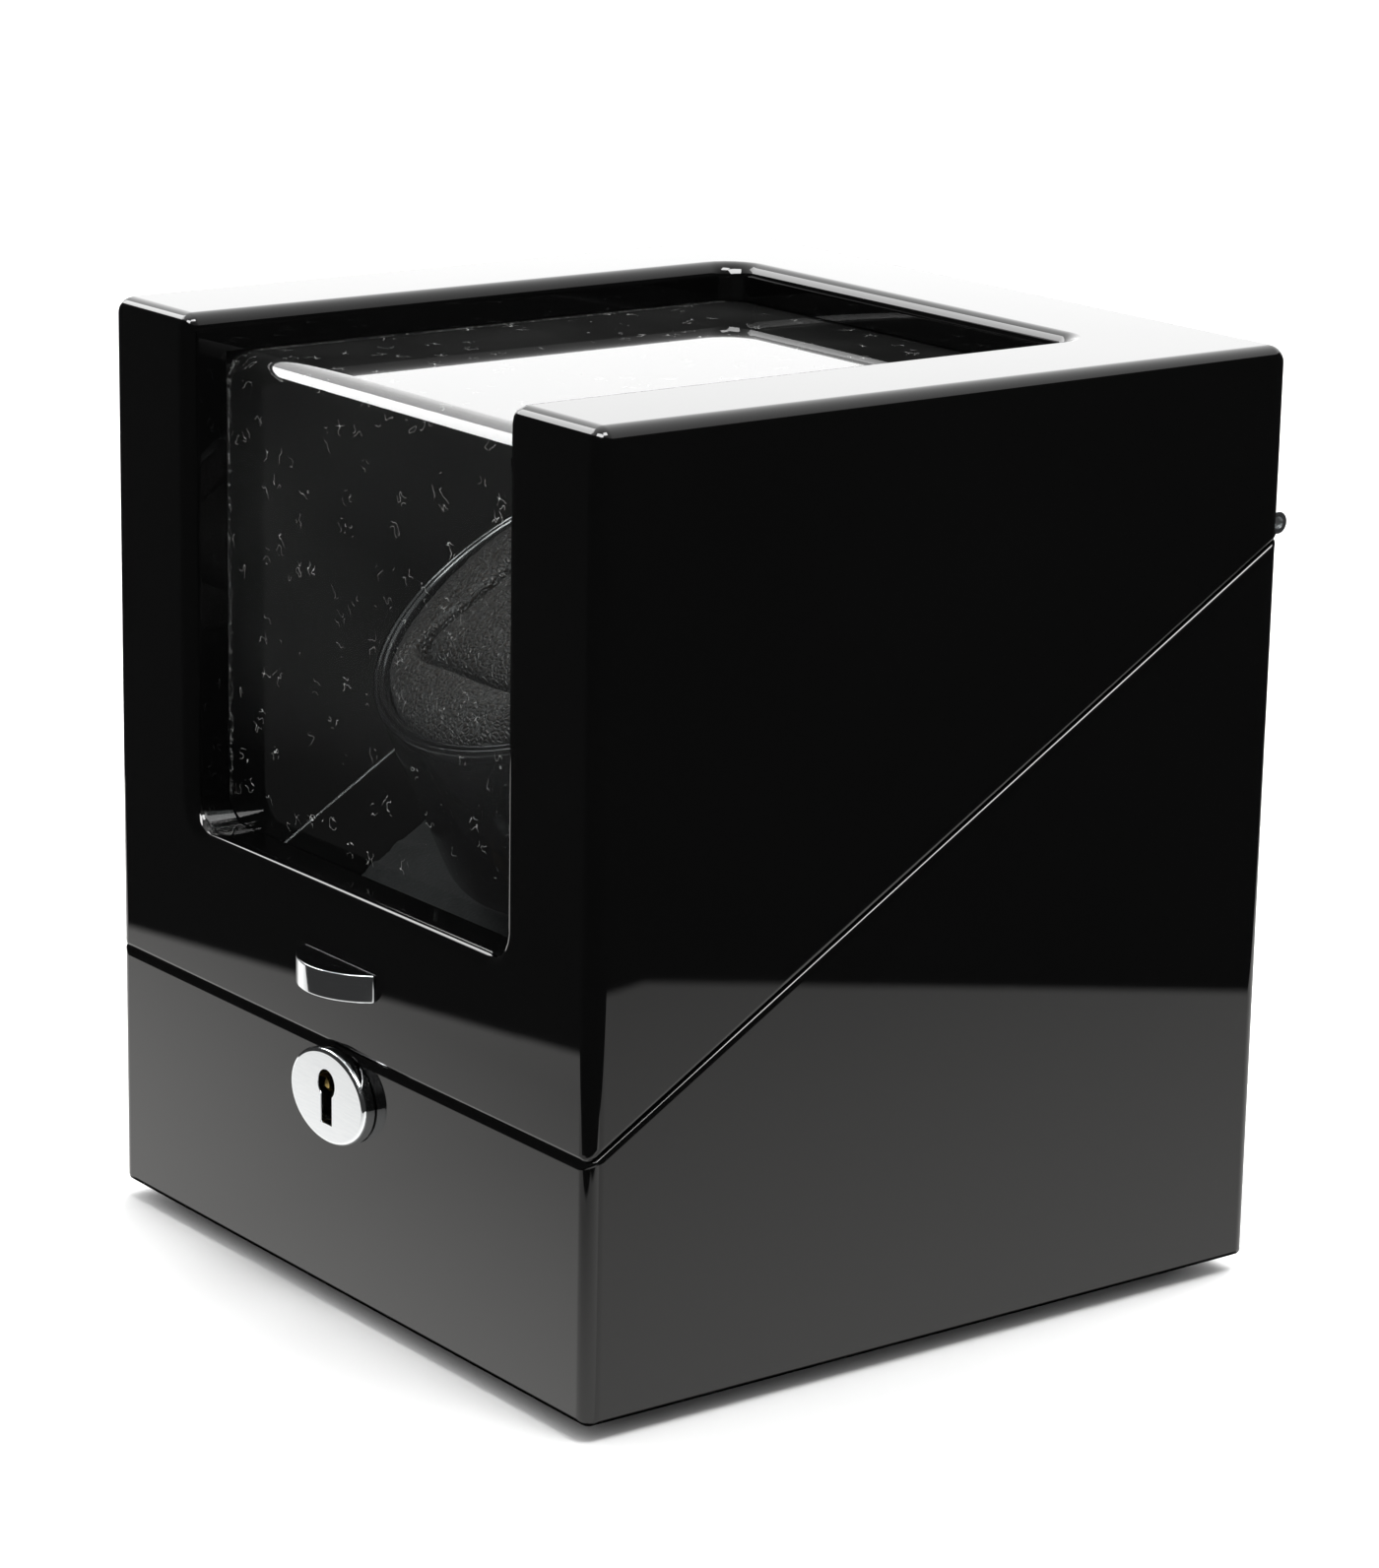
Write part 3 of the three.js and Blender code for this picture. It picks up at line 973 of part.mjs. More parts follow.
const jackBore = turnedY([[0, panelOutside - 9], [JACK_RADIUS, panelOutside - 9],
  [JACK_RADIUS, BACK + 5], [0, BACK + 5]], JACK_X);
const jackPin = turnedY([[0, panelOutside - 10], [1, panelOutside - 10], [1, panelOutside - 1],
  [0, panelOutside - 0.5]], JACK_X, 12);

winder.add(
  mesh("control_panel", controlPanel(), mattBlack()),
  mesh("circuit_board", box(-28, 28, boardFace - BOARD_THICKNESS, boardFace, PANEL_CENTRE - 12,
    PANEL_CENTRE + 12), board()),
  mesh("turns_selector", selector, mattBlack()),
  mesh("turns_knob", cut(knob, knobMark), mattBlack()),
  mesh("direction_switch", switchBody, steel()),
  mesh("direction_lever", switchLever, mattBlack()),
  mesh("dc_jack", join(cut(jackBody, jackBore), jackPin), mattBlack()),
);

export default winder;
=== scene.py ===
import json
import math

import bmesh
import bpy
from mathutils import Matrix, Quaternion, Vector, noise
from mathutils.bvhtree import BVHTree


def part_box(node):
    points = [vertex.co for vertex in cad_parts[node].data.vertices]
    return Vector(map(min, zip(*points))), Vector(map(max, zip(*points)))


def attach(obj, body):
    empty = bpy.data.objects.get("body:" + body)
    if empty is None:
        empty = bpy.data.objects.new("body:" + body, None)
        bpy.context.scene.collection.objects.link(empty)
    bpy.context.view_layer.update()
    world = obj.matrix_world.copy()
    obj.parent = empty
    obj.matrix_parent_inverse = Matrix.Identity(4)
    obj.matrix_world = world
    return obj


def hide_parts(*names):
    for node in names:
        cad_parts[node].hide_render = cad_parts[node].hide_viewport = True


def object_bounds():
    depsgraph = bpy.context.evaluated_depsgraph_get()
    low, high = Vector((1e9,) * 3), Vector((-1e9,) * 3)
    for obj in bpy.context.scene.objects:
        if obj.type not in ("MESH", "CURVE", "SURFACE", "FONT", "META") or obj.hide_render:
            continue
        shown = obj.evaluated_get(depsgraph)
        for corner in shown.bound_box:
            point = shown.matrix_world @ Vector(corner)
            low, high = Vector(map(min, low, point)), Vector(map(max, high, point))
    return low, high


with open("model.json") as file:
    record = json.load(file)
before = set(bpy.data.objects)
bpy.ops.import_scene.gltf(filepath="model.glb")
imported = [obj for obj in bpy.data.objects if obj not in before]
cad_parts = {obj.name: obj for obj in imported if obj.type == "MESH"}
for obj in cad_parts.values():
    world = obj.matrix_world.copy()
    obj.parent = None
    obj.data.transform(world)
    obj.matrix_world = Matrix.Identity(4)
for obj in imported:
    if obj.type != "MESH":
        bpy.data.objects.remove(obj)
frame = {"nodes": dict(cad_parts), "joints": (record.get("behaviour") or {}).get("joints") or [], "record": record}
cad_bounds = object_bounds()

# ---- Camera -------------------------------------------------------------------------------------
# A long lens, a metre from the box and a little above it, looks at the right-hand side and the
# front. It leans by one degree, as a hand-set tripod does.
MM = 0.001
CAMERA_AZIMUTH = math.radians(52.995)
CAMERA_ELEVATION = math.radians(14.966)
CAMERA_DISTANCE = 1005.87 * MM
CAMERA_LEAN = math.radians(1.044)
LOOKS_AT = Vector((-3.8, 5.5, -1.0)) * MM  # from the middle of the box

scene = bpy.context.scene
middle = (cad_bounds[0] + cad_bounds[1]) / 2
to_camera = Vector((
    math.sin(CAMERA_AZIMUTH) * math.cos(CAMERA_ELEVATION),
    -math.cos(CAMERA_AZIMUTH) * math.cos(CAMERA_ELEVATION),
    math.sin(CAMERA_ELEVATION),
))
camera = bpy.data.objects.new("camera", bpy.data.cameras.new("camera"))
scene.collection.objects.link(camera)
camera.data.lens = 111.75
camera.data.sensor_width = 36
camera.data.clip_start = 0.05
camera.location = middle + LOOKS_AT + to_camera * CAMERA_DISTANCE
camera.rotation_mode = "QUATERNION"
camera.rotation_quaternion = (-to_camera).to_track_quat("-Z", "Y") @ Quaternion((0, 0, 1), CAMERA_LEAN)
scene.camera = camera
scene.view_settings.view_transform = "Standard"


# ---- Studio -------------------------------------------------------------------------------------
# A wide pale floor, a white room and four softboxes. Black flags stand round the box, seen only in
# its gloss, so that the lacquer reads black above a painted reflection of the floor. A bright card on
# the far side, seen only in the gloss too, lights the top.
def linear(code):
    """An sRGB hex colour as linear red, green, blue and alpha."""
    parts = [int(code[i:i + 2], 16) / 255 for i in (1, 3, 5)]
    return (*(c / 12.92 if c <= 0.04045 else ((c + 0.055) / 1.055) ** 2.4 for c in parts), 1)


def node(tree, kind, inputs=None, **settings):
    """Adds a node with its settings, and sets or links its inputs."""
    made = tree.nodes.new(kind)
    for name, value in settings.items():
        setattr(made, name, value)
    for name, value in (inputs or {}).items():
        if isinstance(value, bpy.types.NodeSocket):
            tree.links.new(value, made.inputs[name])
        else:
            made.inputs[name].default_value = value
    return made


def material(name, **constants):
    """A new material, with the numbers that are the same all over it on the shader's sockets."""
    made = bpy.data.materials.new(name)
    made.use_nodes = True
    shader = made.node_tree.nodes["Principled BSDF"]
    for socket, value in constants.items():
        shader.inputs[socket.replace("_", " ")].default_value = value
    return made, made.node_tree, shader


def per(size):
    """A texture's scale for a feature of this size in millimetres."""
    return 1 / (size * MM)


def object_space(tree):
    return node(tree, "ShaderNodeTexCoord").outputs["Object"]


def grain_of(tree, where, size, detail):
    """Noise with features of this size in millimetres."""
    return node(tree, "ShaderNodeTexNoise", {"Vector": where, "Scale": per(size),
                                             "Detail": detail}).outputs[0]


def tone_of(tree, amount, dark, pale):
    return node(tree, "ShaderNodeMix", {0: amount, 6: linear(dark), 7: linear(pale)},
                data_type="RGBA").outputs[2]


def between(tree, amount, low, high):
    return node(tree, "ShaderNodeMapRange", {"Value": amount, "To Min": low, "To Max": high}).outputs[0]


def ramp(tree, amount, start, end, low=0, high=1):
    return node(tree, "ShaderNodeMapRange", {"Value": amount, "From Min": start, "From Max": end,
                                             "To Min": low, "To Max": high}).outputs[0]


def bump_of(tree, height, strength, distance):
    """A bump this many millimetres deep."""
    return node(tree, "ShaderNodeBump", {"Height": height, "Strength": strength,
                                         "Distance": distance * MM}).outputs[0]


def maths(tree, operation, *values):
    return node(tree, "ShaderNodeMath", dict(enumerate(values)), operation=operation).outputs[0]


def plug(tree, shader, sockets):
    for name, value in sockets.items():
        tree.links.new(value, shader.inputs[name])


def stage_piece(name, points, faces, finish):
    mesh = bpy.data.meshes.new(name)
    mesh.from_pydata(points, [], faces)
    piece = bpy.data.objects.new(name, mesh)
    scene.collection.objects.link(piece)
    mesh.materials.append(finish)
    return piece


def gloss_only(piece):
    piece.visible_camera = False
    piece.visible_diffuse = False
    piece.visible_transmission = False
    piece.visible_shadow = False


FLOOR_REACH = 9
floor_paint, tree, shader = material("matt_studio_floor", Roughness=0.9, IOR=1.3)
position = object_space(tree)
mottle = grain_of(tree, position, 400, 2)
shade = tone_of(tree, mottle, "#f2f2f2", "#f7f7f7")
tree.links.new(shade, shader.inputs["Base Color"])
stage_piece("floor", [(-FLOOR_REACH, -FLOOR_REACH, 0), (FLOOR_REACH, -FLOOR_REACH, 0),
                      (FLOOR_REACH, FLOOR_REACH, 0), (-FLOOR_REACH, FLOOR_REACH, 0)],
            [(0, 1, 2, 3)], floor_paint)

world = bpy.data.worlds.new("white_room")
scene.world = world
world.use_nodes = True
tree = world.node_tree
towards_far_side = Vector((-0.8, 0.6, 0))
direction = node(tree, "ShaderNodeTexCoord").outputs["Generated"]
along = node(tree, "ShaderNodeVectorMath", {0: direction, 1: towards_far_side}, operation="DOT_PRODUCT")
room_light = node(tree, "ShaderNodeMapRange", {"Value": along.outputs["Value"], "From Min": -0.7,
                                               "From Max": 0.7, "To Min": 0.3, "To Max": 2.1})
tree.links.new(room_light.outputs[0], tree.nodes["Background"].inputs["Strength"])
tree.nodes["Background"].inputs["Color"].default_value = linear("#ffffff")

# A painted reflection of the floor, glowing and seen only in the gloss: brightest by the foot of the
# box, with a painted shadow that darkens it under the box.
GLOW_SIDE = 0.085
GLOW_FRONT = -0.083
GLOW_DEPTH = 0.084
glow_paint, tree, shader = material("painted_floor_reflection")
tree.nodes.remove(shader)
position = object_space(tree)
place = node(tree, "ShaderNodeSeparateXYZ", {0: position})
aside = maths(tree, "ABSOLUTE", place.outputs["X"])
side_glow = ramp(tree, aside, GLOW_SIDE, 0.32, 1.2, 0.72)
front_glow = ramp(tree, place.outputs["Y"], -0.2, GLOW_FRONT, 0.82, 1.72)
leftward = ramp(tree, place.outputs["X"], -0.24, -0.06, 1.06, 0.82)
front_glow = maths(tree, "MULTIPLY", front_glow, leftward)
in_front = maths(tree, "LESS_THAN", place.outputs["Y"], GLOW_FRONT)
level = node(tree, "ShaderNodeMix", {0: in_front, 2: side_glow, 3: front_glow},
             data_type="FLOAT").outputs[0]
deep = maths(tree, "ABSOLUTE", place.outputs["Y"])
beyond_x = maths(tree, "SUBTRACT", aside, GLOW_SIDE)
beyond_y = maths(tree, "SUBTRACT", deep, GLOW_DEPTH)
beyond = maths(tree, "MAXIMUM", beyond_x, beyond_y)
# Painted shadow: the reflected floor fades to dark where it runs under the box.
shade = node(tree, "ShaderNodeMapRange", {"Value": beyond, "From Min": 0.001, "From Max": 0.005},
             interpolation_type="SMOOTHSTEP").outputs[0]
level = maths(tree, "MULTIPLY", level, shade)
glow = node(tree, "ShaderNodeEmission", {"Color": linear("#fffefc"), "Strength": level})
tree.links.new(glow.outputs[0], tree.nodes["Material Output"].inputs["Surface"])
gloss_only(stage_piece("painted_floor_reflection", [(-1.1, -0.5, 0.0004), (0.75, -0.5, 0.0004), (0.75, 0.6, 0.0004),
                                      (-1.1, 0.6, 0.0004)], [(0, 1, 2, 3)], glow_paint))

FLAG_SOFT_FOOT = 3 * MM
FLAG_GLOW = 0.035
flag_cloth, tree, shader = material("black_flag")
tree.nodes.remove(shader)
position = object_space(tree)
height = node(tree, "ShaderNodeSeparateXYZ", {0: position}).outputs["Z"]
solid = node(tree, "ShaderNodeMapRange", {"Value": height, "From Max": FLAG_SOFT_FOOT},
             interpolation_type="SMOOTHSTEP")
dark = node(tree, "ShaderNodeEmission", {"Color": linear("#ffffff"), "Strength": FLAG_GLOW})
clear = node(tree, "ShaderNodeBsdfTransparent")
flag_mix = node(tree, "ShaderNodeMixShader", {0: solid.outputs[0], 1: clear.outputs[0], 2: dark.outputs[0]})
tree.links.new(flag_mix.outputs[0], tree.nodes["Material Output"].inputs["Surface"])
TALL_FLAG = 0.34
LOW_FLAG = 0.2
for name, line, top in (
    ("near_flag", [(-1.1, 0.021), (-0.02, -0.2364), (0.17, -0.2), (0.27, -0.09), (0.311, 0.096),
                   (0, 0.516)], TALL_FLAG),
    ("far_flag", [(0, 0.516), (-0.42, 0.516), (-0.42, -0.14)], LOW_FLAG),
):
    points = [(x, y, z) for x, y in line for z in (0.0002, top)]
    faces = [(2 * i, 2 * i + 2, 2 * i + 3, 2 * i + 1) for i in range(len(line) - 1)]
    gloss_only(stage_piece(name, points, faces, flag_cloth))

card_light, tree, shader = material("bright_card")
tree.nodes.remove(shader)
glow = node(tree, "ShaderNodeEmission", {"Color": linear("#ffffff"), "Strength": 2.3})
tree.links.new(glow.outputs[0], tree.nodes["Material Output"].inputs["Surface"])
CARD_AWAY = Vector((-0.8, 0.6, 0))
CARD_SIDE = Vector((0.6, 0.8, 0))
CARD_HALF = 1.9
CARD_LOW = 0.26
CARD_HIGH = 1.0
card_foot = CARD_AWAY * 1.5
gloss_only(stage_piece("far_card", [
    card_foot + CARD_SIDE * side + Vector((0, 0, z))
    for side, z in ((-CARD_HALF, CARD_LOW), (CARD_HALF, CARD_LOW), (CARD_HALF, CARD_HIGH),
                    (-CARD_HALF, CARD_HIGH))
], [(0, 1, 2, 3)], card_light))

for name, azimuth, elevation, away, size, power, lights, gleams in (
    ("left_softbox", -72, 36, 1.7, 0.8, 11, False, True),
    ("far_softbox", -150, 52, 1.7, 1.1, 26, True, False),
    ("overhead_softbox", 84, 66, 1.3, 0.42, 10, True, True),
    ("camera_softbox", 26, 46, 1.6, 1.2, 80, False, True),
):
    lamp = bpy.data.objects.new(name, bpy.data.lights.new(name, "AREA"))
    scene.collection.objects.link(lamp)
    lamp.data.size = size
    lamp.data.energy = power
    lamp.visible_diffuse = lights
    lamp.visible_glossy = gleams
    azimuth, elevation = math.radians(azimuth), math.radians(elevation)
    reach = Vector((math.sin(azimuth) * math.cos(elevation), -math.cos(azimuth) * math.cos(elevation),
                    math.sin(elevation)))
    lamp.location = middle + reach * away
    lamp.rotation_euler = (-reach).to_track_quat("-Z", "Y").to_euler()

# ---- Case: base and lid -------------------------------------------------------------------------
# The case is built as one closed box of fibreboard, lacquered, and sawn in two along a seam that
# slopes up to the back. Each half is a block with its edges rounded over, then hollowed and
# rebated for the floor, lock, hinge and controls. The window is cut across the top front edge.
base_low, base_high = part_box("base_shell")
lid_low, lid_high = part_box("lid_shell")
joints = {joint["name"]: joint for joint in frame["joints"]}
spin = joints["drum_spin"]
spin_axis = Vector(spin["axis"])
spin_middle = Vector(spin["pos_m"])
TILT = math.atan2(-spin_axis.y, spin_axis.z)
COS, SIN, TAN = math.cos(TILT), math.sin(TILT), math.tan(TILT)
depth_middle = (lid_low.y + lid_high.y) / 2
# The frame of the case, from the middle of its underside, and the frame of the drum, square on the
# seam. Both are in millimetres.
CASE = Matrix.Translation((0, depth_middle, base_low.z)) @ Matrix.Scale(MM, 4)
DRIVE = Matrix.Translation(spin_middle) @ Matrix.Rotation(TILT, 4, "X") @ Matrix.Scale(MM, 4)
to_middle = (depth_middle - spin_middle.y) / COS / MM
SLOPE_TO_CASE = CASE.inverted() @ DRIVE @ Matrix.Translation((0, to_middle, 0))
HALF_WIDTH = lid_high.x / MM
HALF_DEPTH = (lid_high.y - lid_low.y) / 2 / MM
HEIGHT = (lid_high.z - base_low.z) / MM
SEAM_MIDDLE = (spin_middle.z - base_low.z + (depth_middle - spin_middle.y) * TAN) / MM
SEAM_GAP = 0.3
SEAM_ROUND = 1.3
EDGE_ROUND = 3.4
UNDER_ROUND = 1.5
SIDE_WALL = 11
FRONT_WALL = 9.4
BACK_WALL = 11
TOP_PANEL = 8
CAVITY_ROUND = 1.2
FLOOR_THICKNESS = 5.3
FLOOR_REBATE = 7
WINDOW_HALF = 56
WINDOW_LEDGE = 84.5
WINDOW_BACK = 53.5
WINDOW_CORNER = 6
WINDOW_ROUND = 3.2
WINDOW_CUT = 12  # depth of the cut for the window, into the hollow


def linked(name, bm):
    mesh = bpy.data.meshes.new(name)
    bm.to_mesh(mesh)
    bm.free()
    piece = bpy.data.objects.new(name, mesh)
    scene.collection.objects.link(piece)
    return piece


def prism(outline, start, end, axis="z"):
    """A straight body of this outline: [x, y] points up z, [x, z] along y, or [y, z] along x."""
    order = {"x": (2, 0, 1), "y": (0, 2, 1), "z": (0, 1, 2)}[axis]
    bm = bmesh.new()
    rings = [[bm.verts.new([(*point, far)[i] for i in order]) for point in outline] for far in (start, end)]
    bm.faces.new(rings[0])
    bm.faces.new(rings[1])
    for k in range(len(outline)):
        bm.faces.new((rings[0][k - 1], rings[0][k], rings[1][k], rings[1][k - 1]))
    bmesh.ops.recalc_face_normals(bm, faces=bm.faces)
    return bm


def rounded(x0, x1, y0, y1, radius, steps=6):
    """The outline of a rectangle with round corners."""
    centres = ((x1 - radius, y1 - radius), (x0 + radius, y1 - radius), (x0 + radius, y0 + radius),
               (x1 - radius, y0 + radius))
    return [
        (cx + radius * math.cos((quarter + i / steps) * math.pi / 2),
         cy + radius * math.sin((quarter + i / steps) * math.pi / 2))
        for quarter, (cx, cy) in enumerate(centres) for i in range(steps + 1)
    ]


def loft(rings, closed=False):
    """A body through rings of points, capped at both ends or joined end to end."""
    bm = bmesh.new()
    made = [[bm.verts.new(point) for point in ring] for ring in rings]
    for i in range(len(made) if closed else len(made) - 1):
        here, there = made[i], made[(i + 1) % len(made)]
        for k in range(len(here)):
            bm.faces.new((here[k - 1], here[k], there[k], there[k - 1]))
    if not closed:
        bm.faces.new(made[0])
        bm.faces.new(made[-1])
    bmesh.ops.recalc_face_normals(bm, faces=bm.faces)
    return bm


def settle(piece):
    """Puts the modifiers' result into the mesh."""
    graph = bpy.context.evaluated_depsgraph_get()
    graph.update()
    shaped = bpy.data.meshes.new_from_object(piece.evaluated_get(graph), preserve_all_data_layers=True,
                                             depsgraph=graph)
    piece.modifiers.clear()
    piece.data = shaped


def carve(piece, *tools, operation="DIFFERENCE"):
    for tool in tools:
        cutter = linked("cutter", tool)
        change = piece.modifiers.new("cut", "BOOLEAN")
        change.operation = operation
        change.solver = "EXACT"
        change.object = cutter
        settle(piece)
        bpy.data.objects.remove(cutter)


def moved(bm, matrix):
    bm.transform(matrix)
    return bm


def fitted(piece, place, finish, body, slot, *nodes, crease=32):
    """Puts a made piece in its place: its finish, its shading, the body it rides on, what it stands for."""
    piece.data.transform(place)
    piece.data.materials.clear()
    piece.data.materials.append(finish)
    piece.data.shade_smooth()
    piece.data.set_sharp_from_angle(angle=math.radians(crease))
    weighted = piece.modifiers.new("normals", "WEIGHTED_NORMAL")
    weighted.keep_sharp = True
    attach(piece, body)
    if nodes:
        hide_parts(*nodes)
    return piece


def seam_height(y):
    return SEAM_MIDDLE + TAN * y


def round_over(piece, widest, widths):
    """Rounds over each sharp edge by the first width whose test it passes."""
    bm = bmesh.new()
    bm.from_mesh(piece.data)
    weight = bm.edges.layers.float.new("bevel_weight_edge")
    for edge in bm.edges:
        if len(edge.link_faces) == 2 and edge.calc_face_angle(0) > 0.4:
            for width, test in widths:
                if test(edge):
                    edge[weight] = width / widest
                    break
    bm.to_mesh(piece.data)
    bm.free()
    bevel = piece.modifiers.new("round", "BEVEL")
    bevel.limit_method = "WEIGHT"
    bevel.width = widest
    bevel.segments = 8
    bevel.use_clamp_overlap = False
    settle(piece)


def on_skin(face):
    """Whether a face is one of the block's own outer faces."""
    centre = face.calc_center_median()
    return (abs(abs(centre.x) - HALF_WIDTH) < 0.01 or abs(abs(centre.y) - HALF_DEPTH) < 0.01
            or abs(centre.z - HEIGHT) < 0.01 or abs(centre.z) < 0.01)


def on_seam(edge):
    return all(abs(v.co.z - seam_height(v.co.y)) < SEAM_GAP for v in edge.verts)


def on_window(edge):
    inside = all(abs(v.co.x) < WINDOW_HALF + 0.01 for v in edge.verts)
    return inside and any(on_skin(f) for f in edge.link_faces)


lacquer, tree, shader = material("black_polyester_lacquer", Roughness=0.025, IOR=1.5)
# Polished polyester lacquer: near black, with a mirror gloss and the very faint ripple that
# buffing leaves.
position = object_space(tree)
ripple = grain_of(tree, position, 7, 1.5)
cloud = grain_of(tree, position, 60, 2)
tone = tone_of(tree, cloud, "#030303", "#050505")
bump = bump_of(tree, ripple, 1, 0.0012)
plug(tree, shader, {"Base Color": tone, "Normal": bump})

HINGE_HALF = HALF_WIDTH - 4
LEAF_WIDTH = 11.3
LEAF_REBATE = 1.25
back_slope = HALF_DEPTH / COS
LEAF_BEYOND = 12  # past the back edge, clear of it
leaf_outline = [(-HINGE_HALF - 0.3, back_slope - LEAF_WIDTH), (HINGE_HALF + 0.3, back_slope - LEAF_WIDTH),
                (HINGE_HALF + 0.3, back_slope + LEAF_BEYOND), (-HINGE_HALF - 0.3, back_slope + LEAF_BEYOND)]


def hollow(grow, z0, z1):
    return prism(rounded(-HALF_WIDTH + SIDE_WALL - grow, HALF_WIDTH - SIDE_WALL + grow,
                         -HALF_DEPTH + FRONT_WALL - grow, HALF_DEPTH - BACK_WALL + grow,
                         CAVITY_ROUND, 3), z0, z1)


seam_front = seam_height(-HALF_DEPTH)
seam_back = seam_height(HALF_DEPTH)
half_gap = SEAM_GAP / 2 / COS
base = linked("case_base", prism([
    (-HALF_DEPTH, 0), (HALF_DEPTH, 0), (HALF_DEPTH, seam_back - half_gap),
    (-HALF_DEPTH, seam_front - half_gap),
], -HALF_WIDTH, HALF_WIDTH, "x"))
round_over(base, EDGE_ROUND, [
    (SEAM_ROUND, on_seam),
    (UNDER_ROUND, lambda edge: all(abs(v.co.z) < 0.01 for v in edge.verts)),
    (EDGE_ROUND, lambda edge: True),
])
LOCK_HALF = 22.3
LOCK_FRONT = -HALF_DEPTH + 2.5
LOCK_TOP = seam_front + 0.5
LOCK_HEIGHT = 20.1
TONGUE_X = 11
TONGUE_HALF = 2
KEYHOLE_HEAD = 3
KEYHOLE_HALF = 1.9
plate_low, plate_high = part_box("keyhole_plate")
PLATE_MIDDLE = ((plate_low.z + plate_high.z) / 2 - base_low.z) / MM
KEYHOLE_LENGTH = 11.2


def keyhole(grow):
    head = KEYHOLE_HEAD + grow
    half = KEYHOLE_HALF + grow
    centre = PLATE_MIDDLE + KEYHOLE_LENGTH / 2 - KEYHOLE_HEAD
    foot = PLATE_MIDDLE - KEYHOLE_LENGTH / 2 - grow
    start = -math.acos(half / head)
    sweep = math.pi - 2 * start
    arc = [(head * math.cos(start + sweep * i / 28), centre + head * math.sin(start + sweep * i / 28))
           for i in range(29)]
    return [*arc, (-half, foot), (half, foot)]


panel_low, panel_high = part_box("control_panel")
PANEL_HALF = panel_high.x / MM
PANEL_FOOT = (panel_low.z - base_low.z) / MM
PANEL_TOP = (panel_high.z - base_low.z) / MM
PANEL_INSIDE = HALF_DEPTH - 2.7


def block(x0, x1, y0, y1, z0, z1):
    return prism([(x0, y0), (x1, y0), (x1, y1), (x0, y1)], z0, z1)


past_front_wall = -HALF_DEPTH + FRONT_WALL + 5
carve(
    base,
    hollow(0, -1, HEIGHT + 10),
    hollow(FLOOR_REBATE, -1, FLOOR_THICKNESS),
    block(-LOCK_HALF, LOCK_HALF, LOCK_FRONT, past_front_wall, LOCK_TOP - LOCK_HEIGHT, LOCK_TOP),
    *(block(x - TONGUE_HALF, x + TONGUE_HALF, LOCK_FRONT + 0.3, past_front_wall, LOCK_TOP - 0.4,
            LOCK_TOP + 12) for x in (-TONGUE_X, TONGUE_X)),
    prism(keyhole(0.3), -HALF_DEPTH - 1, LOCK_FRONT + 1, "y"),
    block(-PANEL_HALF - 0.3, PANEL_HALF + 0.3, PANEL_INSIDE, HALF_DEPTH + 1,
          PANEL_FOOT - 0.3, PANEL_TOP + 0.3),
    block(-PANEL_HALF + 6, PANEL_HALF - 6, HALF_DEPTH - BACK_WALL - 1, HALF_DEPTH,
          PANEL_FOOT + 4, PANEL_TOP - 4),
    moved(prism(leaf_outline, -LEAF_REBATE, SEAM_GAP), SLOPE_TO_CASE),
)
INNER_CHAMFER = 0.7


def cavity_ring(grow, rise):
    """The hollow's outline on the seam, or this far above it."""
    return [(x, y, seam_height(y) + rise) for x, y in rounded(
        -HALF_WIDTH + SIDE_WALL - grow, HALF_WIDTH - SIDE_WALL + grow, -HALF_DEPTH + FRONT_WALL - grow,
        HALF_DEPTH - BACK_WALL + grow, CAVITY_ROUND, 3)]


carve(base, loft([cavity_ring(-0.05, -half_gap - INNER_CHAMFER), cavity_ring(INNER_CHAMFER, -half_gap),
                  cavity_ring(INNER_CHAMFER, 1)]))
sprayed, tree, shader = material("sprayed_black_lacquer", Roughness=0.3, IOR=1.45)
# Inside, the lacquer is left as sprayed: black, with a soft gloss and a slight orange peel.
position = object_space(tree)
peel = grain_of(tree, position, 1.6, 2)
cloud = grain_of(tree, position, 22, 3)
tone = tone_of(tree, cloud, "#060606", "#0d0d0d")
soft = between(tree, cloud, 0.22, 0.42)
bump = bump_of(tree, peel, 0.6, 0.02)
plug(tree, shader, {"Base Color": tone, "Roughness": soft, "Normal": bump})


def spray_inside(piece):
    """The faces of the hollow take the sprayed finish."""
    piece.data.materials.append(sprayed)
    half_x, front, back, roof = (HALF_WIDTH - SIDE_WALL + 0.9) * MM, lid_low.y + (FRONT_WALL - 0.9) * MM, \
        lid_high.y - (BACK_WALL - 0.9) * MM, lid_high.z - (TOP_PANEL - 0.1) * MM
    for face in piece.data.polygons:
        x, y, z = face.center
        if abs(x) < half_x and front < y < back and z < roof:
            face.material_index = 1


fitted(base, CASE, lacquer, "base", "piano_lacquer", "base_shell")
spray_inside(base)

lid = linked("case_lid", prism([
    (-HALF_DEPTH, seam_front + half_gap), (HALF_DEPTH, seam_back + half_gap), (HALF_DEPTH, HEIGHT),
    (-HALF_DEPTH, HEIGHT),
], -HALF_WIDTH, HALF_WIDTH, "x"))
beyond = 20
STAPLE_HALF = 17.3
STAPLE_AT = -91.45  # on the slope, from the middle of the seam
STAPLE_REACH = 4
STAPLE_DEPTH = 1.45
carve(
    lid,
    prism(rounded(-WINDOW_HALF, WINDOW_HALF, WINDOW_LEDGE, HEIGHT + beyond, WINDOW_CORNER), -HALF_DEPTH - 5,
          -HALF_DEPTH + WINDOW_CUT, "y"),
    prism(rounded(-WINDOW_HALF, WINDOW_HALF, -HALF_DEPTH - beyond, WINDOW_BACK, WINDOW_CORNER),
          HEIGHT - WINDOW_CUT, HEIGHT + 5),
)
round_over(lid, EDGE_ROUND, [
    (SEAM_ROUND, on_seam),
    (WINDOW_ROUND, on_window),
    (EDGE_ROUND, lambda edge: any(on_skin(f) for f in edge.link_faces)),
])
